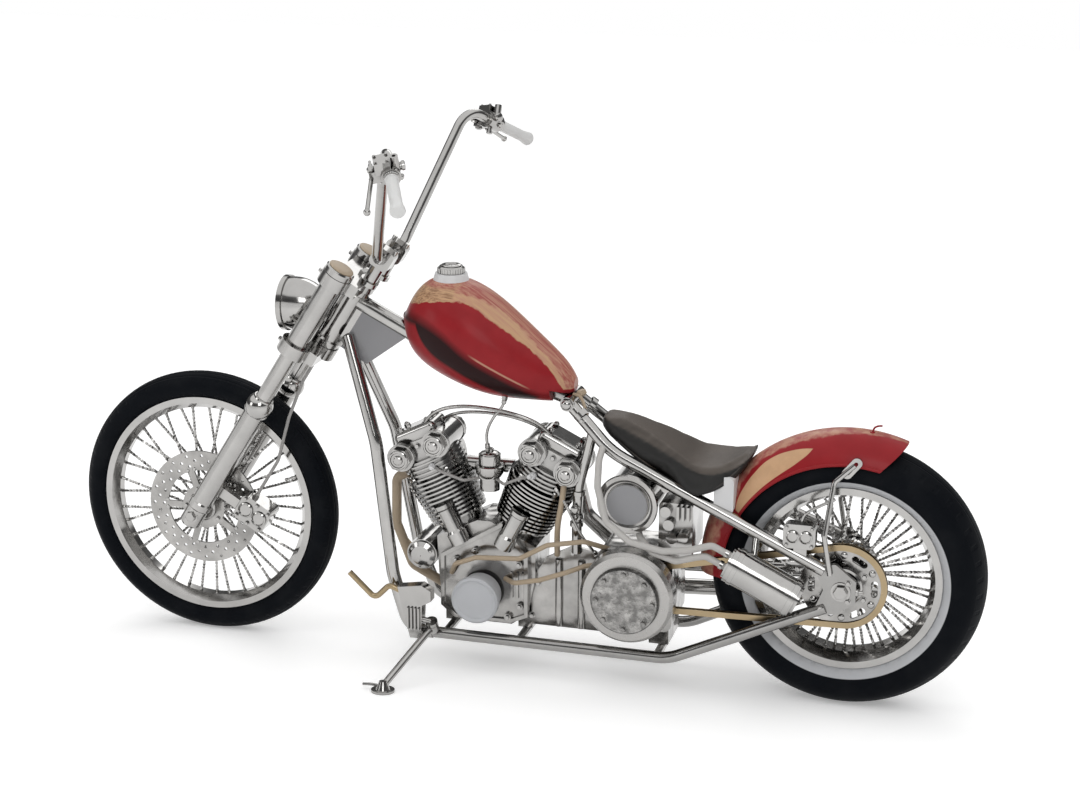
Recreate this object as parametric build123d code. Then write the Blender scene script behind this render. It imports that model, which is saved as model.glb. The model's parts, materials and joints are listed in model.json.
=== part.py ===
"""Chopper motorcycle: rigid rear frame, V-twin engine, tall handlebar, leaning on its side stand.

Millimetres and degrees. The machine is drawn upright: x runs forward from the rear axle, y to the
rider's left, z up from the floor. At the end it is leaned onto its stand and moved so that the origin
is the bottom centre of its box.
"""
from build123d import *
import os
from math import cos, radians, sin, sqrt

# Stance
WHEELBASE = 1612
LEAN = 5.0
RAKE = 32.0
FORK_OFFSET = 40
LEG_SPREAD = 100

# Wheels
FRONT_TYRE_RADIUS = 340
FRONT_TYRE_HALF = 42
FRONT_CROWN = 44
FRONT_FLANGE = 280
FRONT_RIM_HALF = 26
FRONT_SPOKES = 40
REAR_TYRE_RADIUS = 320
REAR_TYRE_HALF = 76
REAR_CROWN = 95
REAR_FLANGE = 222
REAR_RIM_HALF = 48
REAR_SPOKES = 52
BEAD_DEPTH = 12
RIM_DEPTH = 18
RIM_LIP = 4
SPOKE = 4
SPOKE_LEAN = 14
NIPPLE = 7
NIPPLE_LENGTH = 12
AXLE_RADIUS = 10
DISC_RADIUS = 146
DISC_THICKNESS = 5
DISC_Y = 46
CALIPER_BACK = 78
CALIPER_UP = 84

# Clearances
RUNNING = 0.05
SEATED = 0.2
PLAY = 0.6

# Fork and handlebar, measured up the leg from the front axle
SLIDER_RADIUS = 27
SLIDER_TOP = 372
BALL_RADIUS = 35
BALL_CENTRE = 345
SLIDER_FLOOR = 120
FORK_TUBE_RADIUS = 21
COVER_RADIUS = 27
LOWER_TREE = 511
TREE_THICKNESS = 32
UPPER_TREE = 716
CAP_HEIGHT = 46
COLLAR_RADIUS = 38
LAMP_RISE = 120
LAMP_LENGTH = 120
LAMP_RADIUS = 68
STEM_RADIUS = 14
NECK_RADIUS = 28
BAR_RADIUS = 12.5
BAR_BEND = 62
RISER_Y = 42
RISER_RADIUS = 17
GRIP_LENGTH = 128
GRIP_RADIUS = 17
GRIP_FLARE = 24
CONTROL_LENGTH = 44
MIRROR_HOLE = 8.5

# Frame
BACKBONE_RADIUS = 20
CROSS_TUBE_RADIUS = 17
BACKBONE_KNEE = (1060, 0, 814)
BACKBONE_REAR = (668, 0, 688)
GUSSET_HALF = 13
DOWN_RADIUS = 16
RAIL_RADIUS = 14
RAIL_Y = 114
RAIL_Z = 100
RAIL_FRONT_X = 985
RAIL_KINK_X = 400
STAY_RADIUS = 15
PLATE_Y = 126
PLATE_THICKNESS = 12
CROSS_RADIUS = 11
FRONT_CROSS_X = 955
MID_CROSS_X = 770
SEAT_CROSS_X = 420
SEAT_CROSS_Z = 516

# Engine
CRANK_X = 870
CRANK_Z = 206
V_HALF_ANGLE = 26
DECK = 165
CASE_HALF = 65
FIN_START = 186
FIN_PITCH = 11
FIN_COUNT = 11
FIN_THICKNESS = 4.5
BARREL_RADIUS = 56
FIN_LOW_RADIUS = 72
FIN_HIGH_RADIUS = 86
HEAD_START = 306
HEAD_HEIGHT = 44
HEAD_RADIUS = 78
HEAD_FIN = 4
ROCKER_RADIUS = 32
ROCKER_RISE = 70
ROCKER_REACH = 74
COVER_PLATE = 16
COVER_RIM = 9
PULLEY_RADIUS = 58
PUSHROD_FOOT = 132
PUSHROD_TOP = 236
PUSHROD_Y = 82
PUSHROD_RADIUS = 20
PUSHROD_COLLAR = 24
GENERATOR_X = 1025.6
GENERATOR_Z = 283

# Driveline
GEARBOX_X = 494
GEARBOX_Z = 260
GEARBOX_TOP = 345
CLUTCH_RADIUS = 112
CHAIN_Y = 94
REAR_SPROCKET = 95
FRONT_SPROCKET = 46
CHAIN_HEIGHT = 14
CHAIN_GAP = 9
CHAIN_PLATE = 2.5
PIN_PITCH = 47.6
ROLLER_RADIUS = 4.5

# Body
FENDER_RADIUS = 349
FENDER_HALF = 84
FENDER_DROP = 62
FENDER_WALL = 3
FENDER_BEAD = 4
STRUT_RADIUS = 6
OIL_TANK_RADIUS = 64
OIL_TANK_X = 505
OIL_TANK_Z = 476
CAP_X = 968
CAP_Z = 974
FENDER_SWEEP = 114
FENDER_TAIL = 111
TAIL_SLANT = 8
CANISTER_FRONT = Vector(252, 154, 372)
CANISTER_REAR = Vector(100, 158, 302)
CANISTER_NOSE = 6

# Side stand
STAND_PIVOT = (978, 142, 126)
STAND_FOOT_X = 1040
STAND_FOOT_Y = 330
STAND_RADIUS = 9
STAND_PIN = 6
FOOT_RADIUS = 28
FOOT_THICKNESS = 6

UP = (Align.CENTER, Align.CENTER, Align.MIN)
LEFT = Vector(0, 1, 0)


def axle_height(outer, crown):
    """Axle height of the upright wheel whose leaned tyre just meets the floor."""
    return outer - crown + crown / cos(radians(LEAN))


REAR_AXLE = Vector(0, 0, axle_height(REAR_TYRE_RADIUS, REAR_CROWN))
FRONT_AXLE = Vector(WHEELBASE, 0, axle_height(FRONT_TYRE_RADIUS, FRONT_CROWN))
SLOPE_COS = cos(radians(RAKE))
SLOPE_SIN = sin(radians(RAKE))
FORK = Plane(origin=FRONT_AXLE, x_dir=(SLOPE_COS, 0, SLOPE_SIN), z_dir=(-SLOPE_SIN, 0, SLOPE_COS))
BAR_LOW = Vector(WHEELBASE - 490, 90, 1008)
BAR_ELBOW = Vector(WHEELBASE - 592, 295, 1318)
BAR_END = Vector(WHEELBASE - 691, 498, 1216)


# Helpers
def tube(points, radius, bend):
    """A round bar along straight runs joined by tangent bends."""
    path = FilletPolyline(*points, radius=bend) if len(points) > 2 else Line(*points)
    return sweep(Plane(origin=path @ 0, z_dir=path % 0) * Circle(radius), path=path)


def rod(start, end, radius):
    """A straight round bar between two points."""
    axis = Vector(end) - Vector(start)
    return Plane(origin=start, z_dir=axis) * Cylinder(radius, axis.length, align=UP)


def across(x, z, radius, y_from, y_to):
    """A round bar across the machine, parallel to the axles."""
    return rod((x, y_from, z), (x, y_to, z), radius)


def turned(place, outline):
    """A turned solid about the place's z axis; outline holds (radius, height) corners."""
    face = make_face(Plane.XZ * Polyline(*outline, close=True))
    return place * revolve(face, Axis.Z)


def slab(outline, y_from, y_to):
    """A flat plate with an outline of (x, z) corners between two sideways places."""
    face = make_face(Polyline(*[(x, 0, z) for x, z in outline], close=True))
    return extrude(face, amount=y_to - y_from, dir=(0, 1, 0)).moved(Location((0, y_from, 0)))


def block(low, high):
    """A box between two opposite corners."""
    size = [b - a for a, b in zip(low, high)]
    return Box(*size, align=(Align.MIN,) * 3).moved(Location(low))


def both_sides(part):
    """A left-hand piece and its mirror image on the right."""
    return [part, mirror(part, about=Plane.XZ)]


def largest(part):
    """The main solid of a cut piece."""
    return Part() + part.solids().sort_by(SortBy.VOLUME)[-1]


def fused(first, *others):
    """One solid from pieces that run into each other."""
    return Part() + [first.fuse(*others).clean()] if others else first


# Wheels
def wheel_plane(axle):
    return Plane(origin=axle, x_dir=(0, 1, 0), z_dir=(1, 0, 0))


def wheel_frame(axle):
    """Turning frame of a wheel: its z axis is the axle, pointing left."""
    return Plane(origin=axle, x_dir=(1, 0, 0), z_dir=(0, 1, 0))


def tyre(axle, outer, half, crown, flange, rim_half):
    seat = flange - BEAD_DEPTH
    shoulder_y = 0.8 * half
    shoulder_r = outer - crown + sqrt(crown**2 - shoulder_y**2)
    inner_half = rim_half - SEATED
    over_lip = flange + 1
    bulge_r = (over_lip + shoulder_r) / 2
    right = [
        Line((inner_half, seat), (inner_half, over_lip)),
        ThreePointArc((inner_half, over_lip), (half, bulge_r), (shoulder_y, shoulder_r)),
    ]
    left = [
        ThreePointArc((-shoulder_y, shoulder_r), (-half, bulge_r), (-inner_half, over_lip)),
        Line((-inner_half, over_lip), (-inner_half, seat)),
    ]
    crown_arc = ThreePointArc((shoulder_y, shoulder_r), (0, outer), (-shoulder_y, shoulder_r))
    base = Line((-inner_half, seat), (inner_half, seat))
    section = make_face(right + [crown_arc] + left + [base])
    return revolve(wheel_plane(axle) * section, Axis(axle, LEFT))


def rim(axle, flange, rim_half):
    seat = flange - BEAD_DEPTH - SEATED
    lip = rim_half + RIM_LIP
    well = seat - RIM_DEPTH
    corners = [
        (-lip, flange), (-rim_half, flange), (-rim_half, seat), (rim_half, seat), (rim_half, flange),
        (lip, flange), (lip, seat - 4), (rim_half * 0.45, well), (-rim_half * 0.45, well), (-lip, seat - 4),
    ]
    return revolve(wheel_plane(axle) * make_face(Polyline(*corners, close=True)), Axis(axle, LEFT))


def laced_hub(axle, flange, rim_half, spokes, barrel, hub_flange, flange_y, half_length):
    """Hub, square-bar spokes and their nipples; the spokes lean alternately from each hub flange."""
    well = flange - BEAD_DEPTH - SEATED - RIM_DEPTH
    end_r = barrel + 6
    hub = turned(wheel_frame(axle), [
        (AXLE_RADIUS + RUNNING, -half_length), (end_r, -half_length), (end_r, -flange_y - 4),
        (hub_flange, -flange_y - 4), (hub_flange, -flange_y + 4), (barrel, -flange_y + 14),
        (barrel, flange_y - 14), (hub_flange, flange_y - 4), (hub_flange, flange_y + 4),
        (end_r, flange_y + 4), (end_r, half_length), (AXLE_RADIUS + RUNNING, half_length),
    ])
    pieces = []
    nipple_y = rim_half * 0.2
    for i in range(spokes):
        side = 1 if i % 2 else -1
        angle = 360 * i / spokes
        rim_place = wheel_frame(axle) * Location((0, 0, 0), (0, 0, angle))
        nipple = rim_place * Pos(well - SEATED - NIPPLE_LENGTH / 2, 0, side * nipple_y)
        pieces.append(nipple * Box(NIPPLE_LENGTH, NIPPLE, NIPPLE))
        foot_angle = angle + side * SPOKE_LEAN
        foot = (wheel_frame(axle) * Location((0, 0, 0), (0, 0, foot_angle))
                * Pos(hub_flange - 6, 0, side * flange_y)).position
        run = nipple.position - foot
        pieces.append(Plane(origin=foot, z_dir=run) * Box(SPOKE, SPOKE, run.length, align=UP))
    return fused(hub, *pieces)


def brake_disc(axle, y):
    """Drilled disc on a spoked carrier that sits on the hub's end."""
    place = wheel_frame(axle) * Pos(0, 0, y)
    band = Cylinder(DISC_RADIUS, DISC_THICKNESS, align=UP) - Cylinder(96, DISC_THICKNESS, align=UP)
    ring = Cylinder(56, DISC_THICKNESS, align=UP) - Cylinder(34 + SEATED, DISC_THICKNESS, align=UP)
    arms = [Rot(0, 0, 72 * k) * Pos(76, 0, DISC_THICKNESS / 2) * Box(52, 16, DISC_THICKNESS) for k in range(5)]
    holes = []
    for k in range(20):
        for row, radius in ((0, 108), (9, 121), (0, 134)):
            holes.append(Rot(0, 0, 18 * k + row) * Pos(radius, 0, 0) * Cylinder(4, DISC_THICKNESS, align=UP))
    disc = fused(band, ring, *arms) - holes
    return place * disc


# Fork
def fork_parts():
    up = Plane.XY
    leg = Pos(0, LEG_SPREAD, 0)
    bore = FORK_TUBE_RADIUS + SEATED
    shank = turned(up, [
        (0, -32), (SLIDER_RADIUS - 4, -32), (SLIDER_RADIUS, -26), (SLIDER_RADIUS, 20), (SLIDER_RADIUS + 3, 24),
        (SLIDER_RADIUS + 3, 40), (SLIDER_RADIUS, 44), (SLIDER_RADIUS, SLIDER_TOP - 8), (SLIDER_RADIUS - 2, SLIDER_TOP),
        (0, SLIDER_TOP),
    ])
    socket = Pos(0, 0, SLIDER_FLOOR) * Cylinder(bore, SLIDER_TOP, align=UP)
    slider = fused(shank, Pos(0, 0, BALL_CENTRE) * Sphere(BALL_RADIUS)) - socket
    axle_hole = Rot(90, 0, 0) * Cylinder(AXLE_RADIUS + SEATED, 4 * SLIDER_RADIUS)
    lug = block((-CALIPER_BACK, -24, CALIPER_UP - 13), (0, -10, CALIPER_UP + 13))
    plain_slider = slider - axle_hole
    lug_slider = fused(slider, lug - socket) - axle_hole
    stanchion = turned(up, [
        (0, SLIDER_FLOOR + 1), (FORK_TUBE_RADIUS, SLIDER_FLOOR + 1), (FORK_TUBE_RADIUS, LOWER_TREE + TREE_THICKNESS + PLAY),
        (COVER_RADIUS, LOWER_TREE + TREE_THICKNESS + PLAY), (COVER_RADIUS, UPPER_TREE - PLAY),
        (FORK_TUBE_RADIUS, UPPER_TREE - PLAY), (FORK_TUBE_RADIUS, UPPER_TREE + TREE_THICKNESS + PLAY),
        (COLLAR_RADIUS - 2, UPPER_TREE + TREE_THICKNESS + PLAY), (COLLAR_RADIUS - 2, UPPER_TREE + CAP_HEIGHT),
        (COLLAR_RADIUS - 5, UPPER_TREE + CAP_HEIGHT + 4), (0, UPPER_TREE + CAP_HEIGHT + 4),
    ])
    right_leg = Pos(0, -LEG_SPREAD, 0)
    sliders = [leg * lug_slider, right_leg * plain_slider]
    tubes = [leg * stanchion, right_leg * stanchion]
    return [FORK * s for s in sliders], [FORK * t for t in tubes]


def tree(height, with_stem):
    """A fork yoke: two leg collars, a web between them and, below, the steering stem."""
    web_low, web_high = height, height + TREE_THICKNESS
    collars = [Pos(0, side * LEG_SPREAD, web_low) * Cylinder(COLLAR_RADIUS, TREE_THICKNESS, align=UP) for side in (1, -1)]
    boss = Pos(-FORK_OFFSET, 0, web_low) * Cylinder(36, TREE_THICKNESS, align=UP)
    web = block((-FORK_OFFSET - 20, -LEG_SPREAD, web_low), (16, LEG_SPREAD, web_high))
    body = fused(web, boss, *collars)
    if with_stem:
        stem_length = UPPER_TREE + TREE_THICKNESS + 10 - web_high
        stem = Pos(-FORK_OFFSET, 0, web_high) * Cylinder(STEM_RADIUS, stem_length, align=UP)
        body = fused(body, stem)
    else:
        body = body - Pos(-FORK_OFFSET, 0, web_low) * Cylinder(STEM_RADIUS + SEATED, TREE_THICKNESS, align=UP)
    bores = [Pos(0, side * LEG_SPREAD, web_low) * Cylinder(FORK_TUBE_RADIUS + SEATED, TREE_THICKNESS, align=UP)
             for side in (1, -1)]
    return FORK * (body - bores)


def headlamp():
    """Bullet shell and its clear lens, on a short post from the lower yoke."""
    apex = FORK.from_local_coords(Vector(-6, 0, LOWER_TREE + LAMP_RISE))
    axis = Plane(origin=apex, x_dir=(0, 1, 0), z_dir=(1, 0, 0))
    rim_back, lens_back, lens_edge = LAMP_LENGTH - 12, LAMP_LENGTH - 8, LAMP_RADIUS - 6
    arc = ThreePointArc((0, 0), (0.65 * LAMP_RADIUS, 0.28 * LAMP_LENGTH), (LAMP_RADIUS - 4, rim_back))
    outline = arc + Polyline(
        (LAMP_RADIUS - 4, rim_back), (LAMP_RADIUS, rim_back), (LAMP_RADIUS, LAMP_LENGTH), (lens_edge, LAMP_LENGTH),
        (lens_edge, lens_back), (0, lens_back), (0, 0))
    shell = axis * revolve(make_face(Plane.XZ * outline), Axis.Z)
    yoke_top = LOWER_TREE + TREE_THICKNESS
    post = FORK * rod((8, 0, yoke_top + SEATED), (8, 0, LOWER_TREE + LAMP_RISE - 28), 7)
    lens = turned(axis, [
        (0, lens_back + SEATED), (lens_edge - SEATED, lens_back + SEATED), (lens_edge - SEATED, LAMP_LENGTH - 1),
        (lens_edge / 2, LAMP_LENGTH + 4), (0, LAMP_LENGTH + 6),
    ])
    return fused(shell, post), lens


def handlebar_parts():
    left = [BAR_LOW, BAR_ELBOW, BAR_END]
    right = [Vector(p.X, -p.Y, p.Z) for p in reversed(left)]
    bar = tube(right + left, BAR_RADIUS, BAR_BEND)
    out = (BAR_END - BAR_ELBOW).normalized()
    grip_start = BAR_END - out * (GRIP_LENGTH - 3)
    grip_place = Plane(origin=grip_start, x_dir=(1, 0, 0), z_dir=out)
    fit = BAR_RADIUS + SEATED
    grip = turned(grip_place, [
        (fit, 0), (GRIP_RADIUS + 3, 0), (GRIP_RADIUS + 3, 5), (GRIP_RADIUS, 8), (GRIP_RADIUS, 92),
        (GRIP_FLARE, 118), (GRIP_FLARE, GRIP_LENGTH), (fit, GRIP_LENGTH),
    ])
    control_place = Plane(origin=grip_start - out * (CONTROL_LENGTH + 1), x_dir=(1, 0, 0), z_dir=out)
    clamp = Cylinder(22, CONTROL_LENGTH, align=UP)
    perch = block((0, -14, 6), (46, 14, 34))
    reservoir = Pos(15, -22, 20) * Box(34, 30, 36)
    boss = Rot(90, 0, 0) * Pos(-14, 22, 0) * Cylinder(9, 40, align=UP)
    lever = rod((40, 0, 20), (64, 0, 150), 5)
    knob = Pos(64, 0, 150) * Sphere(8)
    control = fused(clamp, perch, reservoir, boss, lever, knob) - Cylinder(fit, CONTROL_LENGTH, align=UP)
    mirror_hole = Rot(90, 0, 0) * Pos(-14, 22, 22) * Cylinder(MIRROR_HOLE / 2, 20, align=UP)
    control = control_place * (control - mirror_hole)
    return bar, both_sides(grip), both_sides(control)


def risers():
    """Two handlebar posts on the upper yoke, each split around the bar."""
    bar_centre = FORK.to_local_coords(Vector(BAR_LOW.X, 0, BAR_LOW.Z))
    base = Vector(bar_centre.X, RISER_Y, UPPER_TREE + TREE_THICKNESS + SEATED)
    top = Vector(bar_centre.X, RISER_Y, bar_centre.Z)
    post = rod(base, top, RISER_RADIUS)
    foot = rod(base, base + Vector(0, 0, 12), RISER_RADIUS + 6)
    clamp = Pos(top) * Box(52, 34, 50)
    clamp = fillet(clamp.edges().filter_by(Axis.Y), 12)
    bolts = [Pos(top + Vector(t, 0, 23)) * Cylinder(6, 10, align=UP) for t in (-18, 18)]
    bore = Pos(top) * Rot(90, 0, 0) * Cylinder(BAR_RADIUS + SEATED, 2 * RISER_Y)
    return both_sides(FORK * (fused(post, foot, clamp, *bolts) - bore))


def front_caliper():
    """Brake caliper behind the left leg, straddling the disc's edge."""
    low = (-CALIPER_BACK - 87, 34, CALIPER_UP - 34)
    high = (-CALIPER_BACK - SEATED, LEG_SPREAD - 12, CALIPER_UP + 34)
    body = block(low, high)
    gap = Pos(0, DISC_Y - 4, 0) * Rot(-90, 0, 0) * Cylinder(DISC_RADIUS + 5, DISC_THICKNESS + 8, align=UP)
    return FORK * (fillet(body.edges().filter_by(Axis.Y), 14) - gap)


def front_brake_line():
    high, low = LOWER_TREE - SEATED, CALIPER_UP + 34 + SEATED
    drop = high - low
    points = [(-52, 58, high), (-52, 58, high - 0.16 * drop), (-70, 64, high - 0.41 * drop),
              (-104, 70, high - 0.69 * drop), (-104, 70, low)]
    return FORK * tube(points, 4, 0.15 * drop)


# Frame
def neck():
    """Steering head tube with a boxed gusset behind it."""
    low = LOWER_TREE + TREE_THICKNESS + PLAY
    high = UPPER_TREE - PLAY
    outline = [
        (STEM_RADIUS + RUNNING, low), (NECK_RADIUS + 5, low), (NECK_RADIUS + 5, low + 14), (NECK_RADIUS, low + 18),
        (NECK_RADIUS, high - 18), (NECK_RADIUS + 5, high - 14), (NECK_RADIUS + 5, high), (STEM_RADIUS + RUNNING, high),
    ]
    tube_part = turned(FORK * Pos(-FORK_OFFSET, 0, 0), outline)
    gusset = FORK * slab([
        (-FORK_OFFSET, low + 16), (-FORK_OFFSET, high - 22), (-FORK_OFFSET - 52, high - 26),
        (-FORK_OFFSET - 163, high - 36), (-FORK_OFFSET - 116, low + 20),
    ], -GUSSET_HALF, GUSSET_HALF)
    bore = FORK * Pos(-FORK_OFFSET, 0, low) * Cylinder(NECK_RADIUS - 2, high - low, align=UP)
    return fused(tube_part, gusset - bore)


def backbone_front():
    """Where the top tube's axis meets the steering axis."""
    return FORK.from_local_coords(Vector(-FORK_OFFSET, 0, UPPER_TREE - 36))


def backbone(neck_part):
    """Top tube from the steering head, bent under the tank, to a cross tube behind it."""
    cross = across(BACKBONE_REAR[0], BACKBONE_REAR[2], CROSS_TUBE_RADIUS, -56, 56)
    top_tube = tube([backbone_front(), BACKBONE_KNEE, BACKBONE_REAR], BACKBONE_RADIUS, 90)
    return largest(fused(top_tube, cross) - neck_part)


def downtubes(neck_part):
    top = FORK.from_local_coords(Vector(-FORK_OFFSET - 40, 16, LOWER_TREE + 86))
    points = [top, (1140, 70, 556), (1092, 100, 236), (1045, RAIL_Y, RAIL_Z), (RAIL_FRONT_X, RAIL_Y, RAIL_Z)]
    left = tube(points, DOWN_RADIUS, [160, 160, 60]) - neck_part
    return both_sides(largest(left))


def rails():
    """Lower frame tubes, each with the plate that holds the rear axle."""
    axle_x, axle_z = REAR_AXLE.X, REAR_AXLE.Z
    left = tube([(RAIL_FRONT_X, RAIL_Y, RAIL_Z), (RAIL_KINK_X, RAIL_Y, RAIL_Z), (34, PLATE_Y, axle_z - 44)],
                RAIL_RADIUS, 120)
    outline = [(-34, axle_z - 26), (-34, axle_z + 26), (14, axle_z + 64), (66, axle_z + 60), (40, axle_z), (66, axle_z - 66),
               (10, axle_z - 56)]
    plate = slab(outline, PLATE_Y - PLATE_THICKNESS / 2, PLATE_Y + PLATE_THICKNESS / 2)
    hole = across(axle_x, axle_z, AXLE_RADIUS + SEATED, 0, 2 * PLATE_Y)
    return both_sides(fused(left, plate) - hole)


STAY_POINTS = [(BACKBONE_REAR[0], 36, BACKBONE_REAR[2]), (556, 74, 588), (40, PLATE_Y, 366)]


def stays(backbone_part, rail_parts):
    left = tube(STAY_POINTS, STAY_RADIUS, 200) - backbone_part - rail_parts[0]
    return both_sides(largest(left))


def crossmembers(rail_parts, stay_parts):
    """Tubes between the two sides: two under the engine, one under the seat with the seat post."""
    lower = [across(x, RAIL_Z, CROSS_RADIUS, -RAIL_Y, RAIL_Y) for x in (FRONT_CROSS_X, MID_CROSS_X)]
    seat_cross = across(SEAT_CROSS_X, SEAT_CROSS_Z, CROSS_RADIUS, -92, 92)
    rear_cross = across(RAIL_KINK_X + 30, RAIL_Z, CROSS_RADIUS, -RAIL_Y, RAIL_Y)
    cut = list(rail_parts) + list(stay_parts)
    solids = []
    for bar in lower + [rear_cross, seat_cross]:
        for other in cut:
            bar = bar - other
        solids.append(largest(bar))
    return solids


# Engine
def cylinder_frame(side):
    """Frame of one cylinder: z runs up its bore from the crank, y to the left."""
    tilt = radians(side * V_HALF_ANGLE)
    return Plane(origin=(CRANK_X, 0, CRANK_Z), x_dir=(cos(tilt), 0, -sin(tilt)), z_dir=(sin(tilt), 0, cos(tilt)))


def pushrod_place(side):
    return cylinder_frame(side) * Pos(-6 * side, PUSHROD_Y, PUSHROD_FOOT)


def pushrod_tube(side):
    """Tappet cover with a collar at each end, from the crankcase up into the fins."""
    length = PUSHROD_TOP - PUSHROD_FOOT
    return turned(pushrod_place(side), [
        (0, 0), (PUSHROD_COLLAR, 0), (PUSHROD_COLLAR, 30), (PUSHROD_RADIUS, 36), (PUSHROD_RADIUS, length - 14),
        (PUSHROD_COLLAR, length - 10), (PUSHROD_COLLAR, length), (0, length),
    ])


def pushrod_hole(side, clearance):
    return pushrod_place(side) * Cylinder(PUSHROD_COLLAR + clearance, PUSHROD_TOP - PUSHROD_FOOT + clearance, align=UP)


CASE_BOSSES = [(936, 281), (887, 308), (828, 336), (778, 284), (776, 176), (806, 146)]  # x, z


def timing_cover():
    """Roof-shaped side plate with a raised rim, bolt bosses and ribs."""
    corners = [(975, 292), (821, 386), (756, 306), (756, 150), (800, 130), (940, 130), (976, 160)]
    face = make_face(Polyline(*[(x, 0, z) for x, z in corners], close=True))
    recess = offset(face, amount=-COVER_RIM, kind=Kind.INTERSECTION)
    low, high = CASE_HALF - 1, CASE_HALF + COVER_PLATE
    plate = extrude(face, amount=high - low, dir=(0, 1, 0)).moved(Location((0, low, 0)))
    pocket = extrude(recess, amount=6, dir=(0, 1, 0)).moved(Location((0, high - 6, 0)))
    bosses = [across(x, z, 9, CASE_HALF, high + 2) for x, z in CASE_BOSSES]
    ribs = [block((766 + 14 * k, CASE_HALF, 196), (772 + 14 * k, high - 2, 262)) for k in range(3)]
    return [plate - pocket] + bosses + ribs


def crankcase():
    front, rear = cylinder_frame(1), cylinder_frame(-1)
    deck = [front.from_local_coords(Vector(t, 0, DECK)) for t in (52, -62)]
    deck += [rear.from_local_coords(Vector(t, 0, DECK)) for t in (62, -64)]
    shoulders = [(p.X, p.Z) for p in deck]
    sides = [(742, 240), (762, 150), (800, 122), (940, 122), (976, 150), (985, 240)]
    case = slab(shoulders + sides, -CASE_HALF, CASE_HALF)
    far_cover = across(CRANK_X, CRANK_Z + 10, 76, -CASE_HALF - 18, -CASE_HALF + 1)
    shaft = across(CRANK_X, CRANK_Z, 22, CASE_HALF, CASE_HALF + 22)
    foot_low = RAIL_Z + CROSS_RADIUS + SEATED
    feet = [block((x - 18, -50, foot_low), (x + 18, 50, 140)) for x in (FRONT_CROSS_X, MID_CROSS_X)]
    case = fused(case, far_cover, shaft, *timing_cover(), *feet)
    for side in (1, -1):
        case = case - pushrod_hole(side, SEATED)
    return case


def cylinder(side):
    place = cylinder_frame(side)
    barrel = Pos(0, 0, DECK + SEATED) * Cylinder(BARREL_RADIUS, HEAD_START - DECK - 2 * SEATED, align=UP)
    fins = []
    for i in range(FIN_COUNT):
        grow = i / (FIN_COUNT - 1)
        radius = FIN_LOW_RADIUS + grow * (FIN_HIGH_RADIUS - FIN_LOW_RADIUS)
        fins.append(Pos(0, 0, FIN_START + i * FIN_PITCH) * Cylinder(radius, FIN_THICKNESS, align=UP))
    return place * fused(barrel, *fins) - pushrod_hole(side, 2)


def head(side):
    """Finned cylinder head with two rocker barrels, hexagon caps and a domed cover."""
    base = Pos(0, 0, HEAD_START) * Cylinder(HEAD_RADIUS - 6, HEAD_HEIGHT, align=UP)
    fins = [Pos(0, 0, HEAD_START + z) * Cylinder(HEAD_RADIUS, HEAD_FIN, align=UP) for z in (0, 11, 22, 33)]
    box = Pos(0, 0, HEAD_START + HEAD_HEIGHT - 1) * Box(136, 112, 50, align=UP)
    box = fillet(box.edges().filter_by(Axis.Z), 22)
    lid = Pos(0, 0, HEAD_START + HEAD_HEIGHT + 48) * Box(116, 92, 32, align=UP)
    lid = fillet(lid.edges().filter_by(Axis.Z) + lid.faces().sort_by(Axis.Z)[-1].edges(), 14)
    barrels = []
    for t in (-50, 48):
        middle = Vector(t * side, 0, HEAD_START + ROCKER_RISE)
        barrels.append(rod(middle - LEFT * ROCKER_REACH, middle + LEFT * ROCKER_REACH, ROCKER_RADIUS))
        for end in (1, -1):
            cap = Plane(origin=middle + LEFT * end * (ROCKER_REACH - 1), z_dir=LEFT * end)
            barrels.append(cap * extrude(RegularPolygon(ROCKER_RADIUS - 3, 6), 15))
    return cylinder_frame(side) * fused(base, box, lid, *fins, *barrels)


def all_pushrods():
    return [pushrod_tube(1), pushrod_tube(-1)]


def intake():
    """Carburettor body and round cover between the two cylinders, on a forked manifold."""
    stub = across(CRANK_X - 6, 500, 20, -10, 60)
    bowl = Pos(CRANK_X - 6, 34, 478) * Cylinder(24, 50)
    dome = Pos(CRANK_X - 6, 34, 512) * Cylinder(27, 30, align=UP)
    manifold = rod((CRANK_X - 62, 0, 505), (CRANK_X + 62, 0, 505), 17)
    body = fused(manifold, stub, bowl, dome)
    for side in (1, -1):
        place = cylinder_frame(side)
        body = body - place * Pos(0, 0, FIN_START) * Cylinder(FIN_HIGH_RADIUS + SEATED, HEAD_START - FIN_START, align=UP)
        body = body - place * Pos(0, 0, HEAD_START - 1) * Cylinder(HEAD_RADIUS + SEATED, 200, align=UP)
        body = body - place * Pos(0, 0, HEAD_START) * Box(170, 180, 200, align=UP)
    return largest(body)


def generator():
    body = across(GENERATOR_X, GENERATOR_Z, 38, -60, 74)
    cap = turned(Plane(origin=(GENERATOR_X, 74, GENERATOR_Z), z_dir=(0, 1, 0)), [(0, 0), (34, 0), (34, 5), (24, 12), (0, 14)])
    return fused(body, cap)


def pulley():
    """Round outer cover on the crankshaft's end."""
    place = Plane(origin=(CRANK_X, CASE_HALF + 22 + SEATED, CRANK_Z), z_dir=(0, 1, 0))
    return turned(place, [(0, 0), (PULLEY_RADIUS - 8, 0), (PULLEY_RADIUS - 4, 40), (PULLEY_RADIUS, 44), (PULLEY_RADIUS, 58),
                          (PULLEY_RADIUS - 5, 63), (PULLEY_RADIUS - 12, 59), (0, 59)])


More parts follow.
